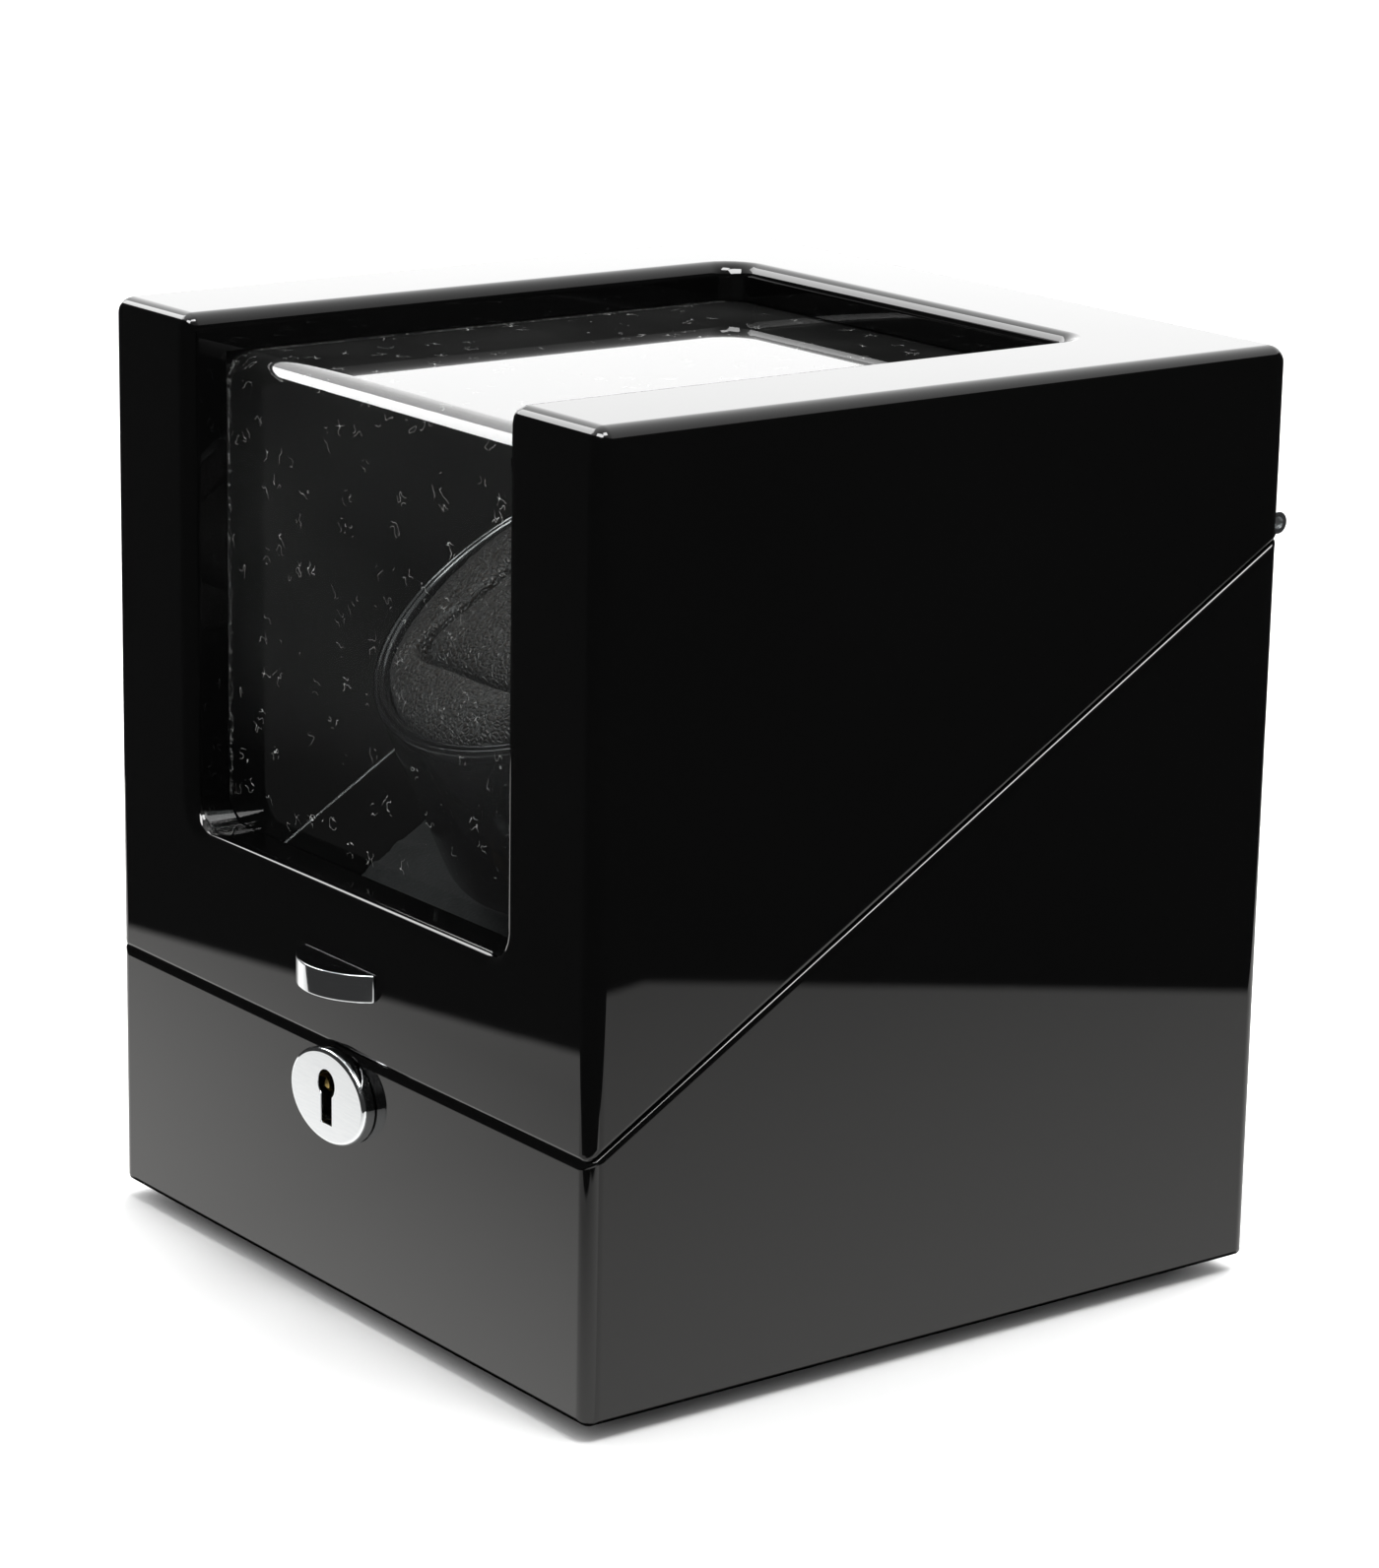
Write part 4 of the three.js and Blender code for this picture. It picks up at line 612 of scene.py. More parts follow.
carve(
    lid,
    hollow(0, 0, HEIGHT - TOP_PANEL),
    moved(block(-STAPLE_HALF, STAPLE_HALF, STAPLE_AT - STAPLE_REACH, STAPLE_AT + STAPLE_REACH, -1,
                STAPLE_DEPTH), SLOPE_TO_CASE),
    moved(prism(leaf_outline, -SEAM_GAP, LEAF_REBATE), SLOPE_TO_CASE),
)
fitted(lid, CASE, lacquer, "lid", "piano_lacquer", "lid_shell")
spray_inside(lid)

# ---- Window pane --------------------------------------------------------------------------------
# One sheet of clear acrylic, bent hot along its top front edge, with its edges flame polished. It
# is glued behind the front panel and under the top panel. It has picked up dust and lint.
PANE_THICKNESS = 3
PANE_BEND = 7
PANE_GAP = 0.3
pane_low, pane_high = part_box("window_pane")
PANE_HALF = pane_high.x / MM
PANE_FOOT = (pane_low.z - base_low.z) / MM
PANE_END = (pane_high.y - depth_middle) / MM
PANE_FRONT = -HALF_DEPTH + FRONT_WALL + PANE_GAP
PANE_TOP = HEIGHT - TOP_PANEL - PANE_GAP


def bent_profile(inset, steps=14):
    """The front, bend and top of the sheet, this far in from its outer face."""
    centre = (PANE_FRONT + PANE_BEND, PANE_TOP - PANE_BEND)
    radius = PANE_BEND - inset
    bend = [(centre[0] + radius * math.cos(math.pi - i / steps * math.pi / 2),
             centre[1] + radius * math.sin(math.pi - i / steps * math.pi / 2)) for i in range(steps + 1)]
    return [(PANE_FRONT + inset, PANE_FOOT), *bend, (PANE_END, PANE_TOP - inset)]


pane = linked("window_pane_sheet", prism(
    [*bent_profile(PANE_THICKNESS), *reversed(bent_profile(0))], -PANE_HALF, PANE_HALF, "x"))
polish = pane.modifiers.new("polish", "BEVEL")
polish.width = 0.4
polish.segments = 2
polish.limit_method = "ANGLE"
polish.angle_limit = math.radians(60)
settle(pane)

acrylic, tree, shader = material("clear_acrylic_sheet")
# Clear cast acrylic: only its gloss shows, stronger at a slant, with specks of dust and lint on it,
# and a thin haze made thicker towards the top, which is painted light falling from above.
tree.nodes.remove(shader)
position = object_space(tree)
facing = node(tree, "ShaderNodeNewGeometry").outputs["Backfacing"]
outward = maths(tree, "SUBTRACT", 1, facing)
mirror = node(tree, "ShaderNodeFresnel", {"IOR": 1.82}).outputs[0]
mirror = maths(tree, "MULTIPLY", mirror, outward)
clear = node(tree, "ShaderNodeBsdfTransparent", {"Color": linear("#f6f8f8")})
gloss = node(tree, "ShaderNodeBsdfGlossy", {"Color": linear("#ffffff"), "Roughness": 0.015})
sheet = node(tree, "ShaderNodeMixShader", {0: mirror, 1: clear.outputs[0], 2: gloss.outputs[0]})

SPECK_SPACING = 1.8
FIBRE_SIZE = 2.6
specks = node(tree, "ShaderNodeTexVoronoi", {"Vector": position, "Scale": per(SPECK_SPACING)})
chance = node(tree, "ShaderNodeSeparateColor", {0: specks.outputs["Color"]})
size = ramp(tree, chance.outputs[0], 0.6, 1, 0, 0.045)
speck = maths(tree, "LESS_THAN", specks.outputs["Distance"], size)
swirl = grain_of(tree, position, FIBRE_SIZE, 1)
swirl = maths(tree, "SUBTRACT", swirl, 0.5)
swirl = maths(tree, "ABSOLUTE", swirl)
thread = maths(tree, "LESS_THAN", swirl, 0.006)
tuft = node(tree, "ShaderNodeTexVoronoi", {"Vector": position, "Scale": per(6.5)})
near_tuft = maths(tree, "LESS_THAN", tuft.outputs["Distance"], 0.28)
lint = maths(tree, "MULTIPLY", thread, near_tuft)
loose = maths(tree, "MAXIMUM", speck, lint)
loose = maths(tree, "MULTIPLY", loose, 0.4)
height = node(tree, "ShaderNodeSeparateXYZ", {0: position})
drift = grain_of(tree, position, 30, 4)
# Painted light: the haze thickens towards the top, where light falls on the pane from above.
painted_top_light = node(tree, "ShaderNodeMapRange", {"Value": height.outputs["Z"], "From Min": pane_low.z + 0.02,
                                           "From Max": pane_low.z + 0.05, "To Min": 0.001, "To Max": 0.009},
              interpolation_type="SMOOTHSTEP").outputs[0]
haze_and_painted_top_light = ramp(tree, drift, 0.3, 0.7, 0.5, 1.2)
haze_and_painted_top_light = maths(tree, "MULTIPLY", haze_and_painted_top_light, painted_top_light)
side = maths(tree, "ABSOLUTE", height.outputs["X"])
glue = ramp(tree, side, (WINDOW_HALF - 1.6) * MM, WINDOW_HALF * MM, 0, 0.22)
crumbs = grain_of(tree, position, 0.9, 3)
crumbs = ramp(tree, crumbs, 0.5, 0.62)
glue = maths(tree, "MULTIPLY", glue, crumbs)
# Real dust and lint, together with the painted top light in the haze.
dust_and_painted_top_light = maths(tree, "MAXIMUM", loose, haze_and_painted_top_light)
dust_and_painted_top_light = maths(tree, "MAXIMUM", dust_and_painted_top_light, glue)
dust_and_painted_top_light = maths(tree, "MULTIPLY", dust_and_painted_top_light, outward)
powder = node(tree, "ShaderNodeBsdfDiffuse", {"Color": linear("#e4e6e4")})
dust_and_top_light_mix = node(tree, "ShaderNodeMixShader", {0: dust_and_painted_top_light, 1: sheet.outputs[0], 2: powder.outputs[0]})
tree.links.new(dust_and_top_light_mix.outputs[0], tree.nodes["Material Output"].inputs["Surface"])
fitted(pane, CASE, acrylic, "lid", "clear_acrylic", "window_pane")

# ---- Chrome: pull and keyhole plate -------------------------------------------------------------
# The pull is a flat slice of a disc, turned and plated, that a screw holds from inside the lid. The
# keyhole plate is a stamped oval with a rounded edge, pressed over the lock's keyhole.
PULL_HALF = 13
PULL_REACH = 7
PULL_THICKNESS = 5.7
pull_low, pull_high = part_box("lid_pull")
PULL_MIDDLE = ((pull_low.z + pull_high.z) / 2 - base_low.z) / MM


def lathe(profile, steps=96, closed=False):
    """A body turned about z from [radius, z] points."""
    turns = [2 * math.pi * k / steps for k in range(steps)]
    return loft([[(radius * math.cos(turn), radius * math.sin(turn), z) for turn in turns]
                 for radius, z in profile], closed)


def bevelled(piece, width, segments=3, angle=50):
    change = piece.modifiers.new("edges", "BEVEL")
    change.width = width
    change.segments = segments
    change.limit_method = "ANGLE"
    change.angle_limit = math.radians(angle)
    settle(piece)


chrome, tree, shader = material("bright_chrome_plate", Metallic=1, Roughness=0.05)
# Bright chrome on polished brass: a clean mirror, a touch cool, with hairline wiping marks.
position = object_space(tree)
stretched = node(tree, "ShaderNodeMapping", {"Vector": position, "Scale": (1, 1, 12)}).outputs[0]
wiping = grain_of(tree, stretched, 4, 4)
tint = tone_of(tree, wiping, "#dfe2e5", "#eceeef")
soft = between(tree, wiping, 0.035, 0.09)
plug(tree, shader, {"Base Color": tint, "Roughness": soft})

radius = (PULL_HALF ** 2 + PULL_REACH ** 2) / (2 * PULL_REACH)
spread = math.asin(PULL_HALF / radius)
sweep = [-spread + 2 * spread * i / 48 for i in range(49)]
arc = [(radius * math.sin(turn), -HALF_DEPTH + radius - PULL_REACH - radius * math.cos(turn))
       for turn in sweep]
pull = linked("pull_chrome", prism([(x, y - 0.1) for x, y in arc], PULL_MIDDLE - PULL_THICKNESS / 2,
                                   PULL_MIDDLE + PULL_THICKNESS / 2))
bevelled(pull, 0.5)
fitted(pull, CASE, chrome, "lid", "chrome_plate", "lid_pull")

PLATE_HALF = 13.4
PLATE_RISE = 9.7
PLATE_THICKNESS = 3
PLATE_ROUND = 0.9


def oval(inset, proud, steps=96):
    return [((PLATE_HALF - inset) * math.cos(2 * math.pi * k / steps), -HALF_DEPTH - proud,
             PLATE_MIDDLE + (PLATE_RISE - inset) * math.sin(2 * math.pi * k / steps)) for k in range(steps)]


plate = linked("keyhole_plate_chrome", loft([
    oval(0.15, 0.1), oval(0, 0.3),
    *(oval(PLATE_ROUND * (1 - math.cos(a * math.pi / 12)),
           PLATE_THICKNESS - PLATE_ROUND * (1 - math.sin(a * math.pi / 12))) for a in range(7)),
]))
carve(plate, prism(keyhole(0), -HALF_DEPTH - 8, -HALF_DEPTH + 4, "y"))
bevelled(plate, 0.18, 2, 70)
fitted(plate, CASE, chrome, "base", "chrome_plate", "keyhole_plate")

# ---- Feet ---------------------------------------------------------------------------------------
# Four moulded rubber feet, glued under the floor, with a rounded tread.
rubber, tree, shader = material("black_moulded_rubber", Roughness=0.75)
# Moulded rubber: a dull charcoal black with a fine pebble.
position = object_space(tree)
grain = grain_of(tree, position, 0.8, 4)
tone = tone_of(tree, grain, "#101010", "#1a1a19")
bump = bump_of(tree, grain, 0.5, 0.05)
plug(tree, shader, {"Base Color": tone, "Normal": bump})
FOOT_RADIUS = 8
for corner in ("front_left", "front_right", "back_left", "back_right"):
    low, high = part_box(f"foot_{corner}")
    centre = ((low.x + high.x) / 2, (low.y + high.y) / 2, 0)
    middle_of_foot = Matrix.Translation(centre) @ Matrix.Scale(MM, 4)
    top = high.z / MM
    foot = linked(f"rubber_foot_{corner}", lathe([
        (3, 0.3), (3.3, 0), (FOOT_RADIUS - 1.6, 0), (FOOT_RADIUS - 0.9, 0.2), (FOOT_RADIUS - 0.4, 0.6),
        (FOOT_RADIUS - 0.1, 1.2), (FOOT_RADIUS, 1.9), (FOOT_RADIUS, top)], 48))
    fitted(foot, middle_of_foot, rubber, "base", "rubber", f"foot_{corner}")

# ---- Deck lining --------------------------------------------------------------------------------
# Black velveteen glued over the sloping deck, cut round the lock and the plinth. It has crept into
# a few low wrinkles at the front left corner.
LINING_THICKNESS = 0.8
LINING_UNDER = -19.7
lining_low, lining_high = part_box("deck_lining")
LINING_HALF = lining_high.x / MM


def along_slope(y, w):
    """The drum frame's v of a place at this depth in the case's frame of the row."""
    return ((y - spin_middle.y) / MM + w * SIN) / COS


lining_foot = along_slope(lining_low.y, LINING_UNDER) + 0.2
lining_head = along_slope(lining_high.y, LINING_UNDER) - 0.5
LINING_STEP = 1.2
WRINKLE = 1.6


def wrinkle(x, v):
    """Low folds that run in arcs about the front left corner."""
    from_corner = math.hypot(x + LINING_HALF + 8, v - lining_foot + 28)
    place = math.exp(-((from_corner - 66) / 24) ** 2)
    waver = noise.noise(Vector((x, v, 0)) * 0.06)
    fold = max(0, math.sin(from_corner * 0.78 + waver * 4)) ** 3
    return WRINKLE * place * fold + 0.08 * (1 + noise.noise(Vector((x, v, 7)) * 0.11))


columns = round(2 * LINING_HALF / LINING_STEP)
rows = round((lining_head - lining_foot) / LINING_STEP)
bm = bmesh.new()
grid = [[None] * (rows + 1) for _ in range(columns + 1)]
for i in range(columns + 1):
    for j in range(rows + 1):
        x = -LINING_HALF + 2 * LINING_HALF * i / columns
        v = lining_foot + (lining_head - lining_foot) * j / rows
        grid[i][j] = bm.verts.new((x, v, LINING_UNDER + wrinkle(x, v)))
for i in range(columns):
    for j in range(rows):
        bm.faces.new((grid[i][j], grid[i + 1][j], grid[i + 1][j + 1], grid[i][j + 1]))
lining = linked("velveteen_lining", bm)
thick = lining.modifiers.new("thick", "SOLIDIFY")
thick.thickness = LINING_THICKNESS
thick.offset = 1
settle(lining)
HOLE_RADIUS = 35
NOTCH_HALF = LOCK_HALF + 0.3
notch_depth = along_slope(depth_middle + (LOCK_FRONT + 12.9) * MM, LINING_UNDER) - lining_foot
carve(
    lining,
    lathe([(HOLE_RADIUS, LINING_UNDER - 4), (HOLE_RADIUS, LINING_UNDER + 6)], 64),
    block(-NOTCH_HALF, NOTCH_HALF, lining_foot - 5, lining_foot + notch_depth,
          LINING_UNDER - 4, LINING_UNDER + 6),
)
velveteen, tree, shader = material("black_velveteen", Roughness=1, Sheen_Weight=0.15, Sheen_Roughness=0.35)
# Cotton velveteen: a deep black pile with a fine mottle, greyed where it leans by a painted sheen.
position = object_space(tree)
pile = grain_of(tree, position, 0.7, 3)
painted_pile_sheen = grain_of(tree, position, 14, 3)
pile_and_painted_sheen = maths(tree, "MULTIPLY", pile, painted_pile_sheen)
pile_and_painted_sheen = ramp(tree, pile_and_painted_sheen, 0.12, 0.4)
# Painted sheen: the colour greys in the patches where the pile leans.
tone = tone_of(tree, pile_and_painted_sheen, "#0a0a0b", "#1c1c1d")
bump = bump_of(tree, pile, 0.6, 0.25)
plug(tree, shader, {"Base Color": tone, "Normal": bump})
fitted(lining, DRIVE, velveteen, "base", "velvet", "deck_lining", crease=60)

# ---- Plinth and drum ----------------------------------------------------------------------------
# The drum turns above a fixed moulded plinth. It is a tapered cup of gloss black plastic, closed by
# a separate rim with a fine groove round it.
PLINTH_RADIUS = 42
PLINTH_WALL = 3
PLINTH_TOP = -1.5
PLINTH_FOOT = -18.7
BUSH_BORE = 5.2
moulded, tree, shader = material("gloss_black_styrene", Roughness=0.12, IOR=1.55)
# Injection-moulded styrene: gloss black with slight sink and haze.
position = object_space(tree)
haze = grain_of(tree, position, 9, 3)
soft = between(tree, haze, 0.08, 0.2)
tone = tone_of(tree, haze, "#0c0c0d", "#131314")
plug(tree, shader, {"Roughness": soft, "Base Color": tone})
plinth = linked("plinth_moulding", lathe([
    (BUSH_BORE, PLINTH_TOP), (BUSH_BORE, PLINTH_TOP - 12), (BUSH_BORE + 2.9, PLINTH_TOP - 12),
    (BUSH_BORE + 2.9, PLINTH_TOP - PLINTH_WALL), (PLINTH_RADIUS - PLINTH_WALL, PLINTH_TOP - PLINTH_WALL),
    (PLINTH_RADIUS - PLINTH_WALL, PLINTH_FOOT), (PLINTH_RADIUS, PLINTH_FOOT),
    (PLINTH_RADIUS, PLINTH_TOP - 1.5),
    (PLINTH_RADIUS - 0.2, PLINTH_TOP - 0.8), (PLINTH_RADIUS - 0.8, PLINTH_TOP - 0.2),
    (PLINTH_RADIUS - 1.5, PLINTH_TOP)], closed=True))
fitted(plinth, DRIVE, moulded, "base", "gloss_black_plastic", "drum_plinth")

DRUM_FOOT = 0.5
DRUM_TOP = 42
FOOT_RADIUS_OF_DRUM = 51.5
RIM_SEAT = 39
DRUM_WALL = 2.6
DRUM_FLOOR = 3.5
HUB_RADIUS = 8
HUB_TOP = 9.5
SHAFT_BORE = 3.3


def drum_wall(w):
    return FOOT_RADIUS_OF_DRUM - 3.5 * (w - DRUM_FOOT) / (DRUM_TOP - DRUM_FOOT)


cup = linked("drum_cup_moulding", lathe([
    (SHAFT_BORE, DRUM_FOOT), (drum_wall(DRUM_FOOT) - 1.4, DRUM_FOOT),
    (drum_wall(DRUM_FOOT) - 0.6, DRUM_FOOT + 0.2), (drum_wall(DRUM_FOOT) - 0.15, DRUM_FOOT + 0.7),
    (drum_wall(2), 2), (drum_wall(20), 20), (drum_wall(RIM_SEAT), RIM_SEAT),
    (drum_wall(RIM_SEAT) - DRUM_WALL, RIM_SEAT), (drum_wall(4) - DRUM_WALL, DRUM_FOOT + DRUM_FLOOR),
    (HUB_RADIUS, DRUM_FOOT + DRUM_FLOOR), (HUB_RADIUS, HUB_TOP), (SHAFT_BORE, HUB_TOP)], 160, closed=True))
fitted(cup, DRIVE, moulded, "drum", "gloss_black_plastic", "drum_cup")

rim_outer = drum_wall(RIM_SEAT)
rim_inner = rim_outer - DRUM_WALL - 0.4
rim = linked("drum_rim_ring", lathe([
    (rim_inner, RIM_SEAT + 0.3), (rim_outer, RIM_SEAT + 0.3), (rim_outer, 40.9), (rim_outer - 0.12, 41.4),
    (rim_outer - 0.45, 41.8), (rim_outer - 0.9, 41.95), (rim_outer - 1.2, 41.75), (rim_outer - 1.45, 41.35),
    (rim_outer - 1.7, 41.75), (rim_outer - 2, 42), (rim_outer - 2.5, 41.85), (rim_inner + 0.12, 41.3),
    (rim_inner, 40.8)], 160, closed=True))
fitted(rim, DRIVE, moulded, "drum", "gloss_black_plastic", "drum_rim", crease=60)

# ---- Drum pad -----------------------------------------------------------------------------------
# Foam under grained leather, drawn over the edge of the pocket and gathered under the rim, so that
# it puckers all round and creases where it turns into the pocket.
PAD_RADIUS = 44.75
PAD_FOOT = 12.5
PAD_EDGE = 40.0
PAD_CROWN = 45.4
POCKET_HALF_X = 25.6
POCKET_HALF_V = 30.6
POCKET_FLOOR = 18
POCKET_ROUND = 1.6
PAD_STEPS = 288
PUCKERS = 46


def pocket_reach(angle):
    """How far the pocket's edge is from the drum's axis, in this direction."""
    square = 9
    return (abs(math.cos(angle) / POCKET_HALF_X) ** square
            + abs(math.sin(angle) / POCKET_HALF_V) ** square) ** (-1 / square)


def pad_ring(outwards, lift, pucker):
    """A ring between the pocket's edge (0) and the pad's side (1), with its puckers this deep."""
    ring = []
    for k in range(PAD_STEPS):
        angle = 2 * math.pi * k / PAD_STEPS
        edge = pocket_reach(angle)
        radius = edge + (PAD_RADIUS - edge) * outwards
        x, v = radius * math.cos(angle), radius * math.sin(angle)
        waver = noise.noise(Vector((x, v, 3)) * 0.09)
        uneven = 0.6 + 0.8 * noise.noise(Vector((x, v, 11)) * 0.05)
        gather = math.sin(PUCKERS * angle + waver * 7) * uneven
        slack = noise.noise(Vector((x, v, 5)) * 0.07)
        ring.append((x, v, lift + pucker * gather + (0.5 * slack if 0 < outwards < 1 else 0)))
    return ring


rings = [pad_ring(0.97, PAD_FOOT, 0), pad_ring(1, PAD_FOOT + 1, 0), pad_ring(1, 30, 0),
         pad_ring(1, PAD_EDGE - 1, 0)]
for i in range(1, 15):
    t = i / 14  # from the rim in to where the leather turns down
    rise = math.sin(min(1, t * 1.25) * math.pi / 2) ** 0.8
    lift = PAD_EDGE + (PAD_CROWN - PAD_EDGE) * rise
    rings.append(pad_ring(1 - 0.86 * t, lift, 0.42 * math.exp(-t * 3.2)))
for i in range(1, 6):
    turn = i / 5 * math.pi / 2
    lift = PAD_CROWN - POCKET_ROUND * (1 - math.cos(turn))
    rings.append(pad_ring(0.14 * (1 - math.sin(turn)), lift, 0.05))
rings += [pad_ring(0, 30, 0), pad_ring(0, POCKET_FLOOR + 1, 0), pad_ring(-0.06, POCKET_FLOOR, 0)]
pad = linked("drum_pad_leather", loft(rings))

LEATHER_PEBBLE = 1.1
leather, tree, shader = material("black_grained_leather", Roughness=0.45, Specular_IOR_Level=0.42)
# Corrected-grain leather: brown-black, pebbled, with a waxy gloss on the pebbles and duller creases.
# Its colour is painted darker in the creases as shade and paler on the pebble tops as highlight.
position = object_space(tree)
warp = node(tree, "ShaderNodeTexNoise", {"Vector": position, "Scale": per(3), "Detail": 2}).outputs["Color"]
warp = node(tree, "ShaderNodeVectorMath", {0: warp, 1: (0.0011, 0.0011, 0.0011)},
            operation="MULTIPLY").outputs[0]
warped = node(tree, "ShaderNodeVectorMath", {0: position, 1: warp}, operation="ADD").outputs[0]
pebble = node(tree, "ShaderNodeTexVoronoi", {"Vector": warped, "Scale": per(LEATHER_PEBBLE)},
              feature="DISTANCE_TO_EDGE").outputs["Distance"]
pebble = node(tree, "ShaderNodeMapRange", {"Value": pebble, "From Max": 0.32},
              interpolation_type="SMOOTHSTEP").outputs[0]
crease = node(tree, "ShaderNodeTexNoise", {"Vector": position, "Scale": per(11), "Detail": 5,
                                           "Distortion": 1.6}).outputs[0]
relief = maths(tree, "MULTIPLY_ADD", crease, 2.6, pebble)
bump = bump_of(tree, relief, 1, 0.42)
# Painted shade and highlight: darker in the creases between pebbles, paler on the pebble tops.
tone = tone_of(tree, pebble, "#0f0b09", "#271d17")
soft = between(tree, pebble, 0.62, 0.4)
plug(tree, shader, {"Base Color": tone, "Roughness": soft, "Normal": bump})
fitted(pad, DRIVE, leather, "drum", "leather", "drum_pad", crease=70)

# ---- Watch cushion ------------------------------------------------------------------------------
# A roll of foam in leather that a watch strap closes round, pushed into the pocket. The foam swells
# the leather between its seams, which are sewn round both ends. It is inflated as cloth.
CUSHION_HALF_X = 25
CUSHION_HALF_V = 30
CUSHION_FOOT = 18.4
CUSHION_TOP = 47.4
CUSHION_ROUND = 4.5
SLACK = 0.8
SWELL = 1.3
VOXEL = 2.6


def cushion_slice(x, shrink):
    return [(x, v, w) for v, w in rounded(
        -CUSHION_HALF_V + shrink, CUSHION_HALF_V - shrink, CUSHION_FOOT + shrink, CUSHION_TOP - shrink,
        CUSHION_ROUND, 8)]


ends = [(0, 4.5), (0.7, 3.2), (1.8, 2.1), (3.2, 1.5), (6, SLACK)]
cushion = linked("watch_cushion_roll", loft([
    *(cushion_slice(-CUSHION_HALF_X + 0.8 + x, shrink) for x, shrink in ends),
    *(cushion_slice(x, SLACK) for x in (-12, -6, 0, 6, 12)),
    *(cushion_slice(CUSHION_HALF_X - 0.8 - x, shrink) for x, shrink in reversed(ends)),
]))
cushion.data.transform(Matrix.Scale(MM, 4))
remesh = cushion.modifiers.new("voxels", "REMESH")
remesh.mode = "VOXEL"
remesh.voxel_size = VOXEL * MM
settle(cushion)
before = [v.co.copy() for v in cushion.data.vertices]
cloth = cushion.modifiers.new("swell", "CLOTH")
cloth.settings.use_pressure = True
cloth.settings.uniform_pressure_force = 4
cloth.settings.quality = 5
cloth.settings.effector_weights.gravity = 0
for step in range(1, 21):
    scene.frame_set(step)
settle(cushion)
scene.frame_set(1)
for vertex, start in zip(cushion.data.vertices, before):
    move = vertex.co - start
    if move.length > SWELL * MM:
        vertex.co = start + move.normalized() * SWELL * MM
cushion.data.transform(Matrix.Scale(1 / MM, 4))
SEAM_AT = 20.5
for vertex in cushion.data.vertices:
    x, v, w = vertex.co
    groove = math.exp(-((abs(x) - SEAM_AT) / 1.5) ** 2)
    inward = Vector((0, v, w - (CUSHION_FOOT + CUSHION_TOP) / 2)).normalized()
    ruck = 0.35 * noise.noise(Vector((x * 0.25, v * 0.1, w * 0.1)))
    ruck += 0.25 * noise.noise(Vector((x, v, w)) * 0.12)
    vertex.co -= inward * (0.4 * groove - ruck)
smooth = cushion.modifiers.new("smooth", "SUBSURF")
smooth.levels = smooth.render_levels = 1
settle(cushion)
surface = BVHTree.FromPolygons([v.co for v in cushion.data.vertices],
                               [p.vertices for p in cushion.data.polygons])
bm = bmesh.new()
bm.from_mesh(cushion.data)
PIPING = 0.3
for x in (-SEAM_AT, SEAM_AT):
    hub = Vector((x, 0, (CUSHION_FOOT + CUSHION_TOP) / 2))
    path = []
    for k in range(120):
        angle = 2 * math.pi * k / 120
        ray = Vector((0, math.cos(angle), math.sin(angle)))
        hit = surface.ray_cast(hub + ray * 60, -ray)[0]
        path.append((hit, ray))
    tube = [[bm.verts.new(hit + ray * PIPING * math.cos(turn) + Vector((1, 0, 0)) * PIPING * math.sin(turn))
             for turn in (2 * math.pi * i / 8 for i in range(8))] for hit, ray in path]
    for k in range(120):
        for i in range(8):
            bm.faces.new((tube[k - 1][i - 1], tube[k - 1][i], tube[k][i], tube[k][i - 1]))
bmesh.ops.recalc_face_normals(bm, faces=bm.faces)
bm.to_mesh(cushion.data)
bm.free()
fitted(cushion, DRIVE, leather, "cushion", "leather", "watch_cushion", crease=80)

# ---- Controls on the back -----------------------------------------------------------------------
# A moulded panel in the back carries the turns selector's knob, the direction switch's lever and the
# inlet for the adapter.
PANEL_MIDDLE = (PANEL_FOOT + PANEL_TOP) / 2
KNOB_HOLE = 4
JACK_HOLE = 4.8
SLOT_HALF = 4.9
SLOT_RISE = 2.4
PANEL_INNER = HALF_DEPTH - 2.5
PANEL_OUTER = HALF_DEPTH - 0.1
knob_low, knob_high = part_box("turns_knob")
KNOB_X = (knob_low.x + knob_high.x) / 2 / MM
lever_low, lever_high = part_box("direction_lever")
LEVER_X = (lever_low.x + lever_high.x) / 2 / MM
jack_low, jack_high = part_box("dc_jack")
JACK_X = (jack_low.x + jack_high.x) / 2 / MM
textured, tree, shader = material("textured_black_abs", Roughness=0.5, IOR=1.5)
# ABS from a spark-eroded mould: even black with a fine matt grain.
position = object_space(tree)
grain = grain_of(tree, position, 0.45, 3)
tone = tone_of(tree, grain, "#121213", "#1d1d1e")
soft = between(tree, grain, 0.42, 0.62)
bump = bump_of(tree, grain, 0.5, 0.05)
plug(tree, shader, {"Base Color": tone, "Roughness": soft, "Normal": bump})


def circle(radius, x, z, steps=48):
    return [(x + radius * math.cos(2 * math.pi * k / steps), z + radius * math.sin(2 * math.pi * k / steps))
            for k in range(steps)]


panel = linked("control_panel_moulding", prism(
    rounded(-PANEL_HALF, PANEL_HALF, PANEL_FOOT, PANEL_TOP, 1.5), PANEL_INNER, PANEL_OUTER, "y"))
carve(
    panel,
    prism(circle(KNOB_HOLE, KNOB_X, PANEL_MIDDLE), PANEL_INNER - 2, PANEL_OUTER + 2, "y"),
    prism(circle(JACK_HOLE, JACK_X, PANEL_MIDDLE), PANEL_INNER - 2, PANEL_OUTER + 2, "y"),
    prism(rounded(LEVER_X - SLOT_HALF, LEVER_X + SLOT_HALF, PANEL_MIDDLE - SLOT_RISE,
                  PANEL_MIDDLE + SLOT_RISE, 0.5), PANEL_INNER - 2, PANEL_OUTER + 2, "y"),
)
bevelled(panel, 0.4, 2)
fitted(panel, CASE, textured, "base", "matt_black_plastic", "control_panel")

# Turned about its own middle, then laid along y.
ALONG_Y = Matrix.Rotation(-math.pi / 2, 4, "X")


def on_panel(x):
    return CASE @ Matrix.Translation((x, 0, PANEL_MIDDLE)) @ ALONG_Y


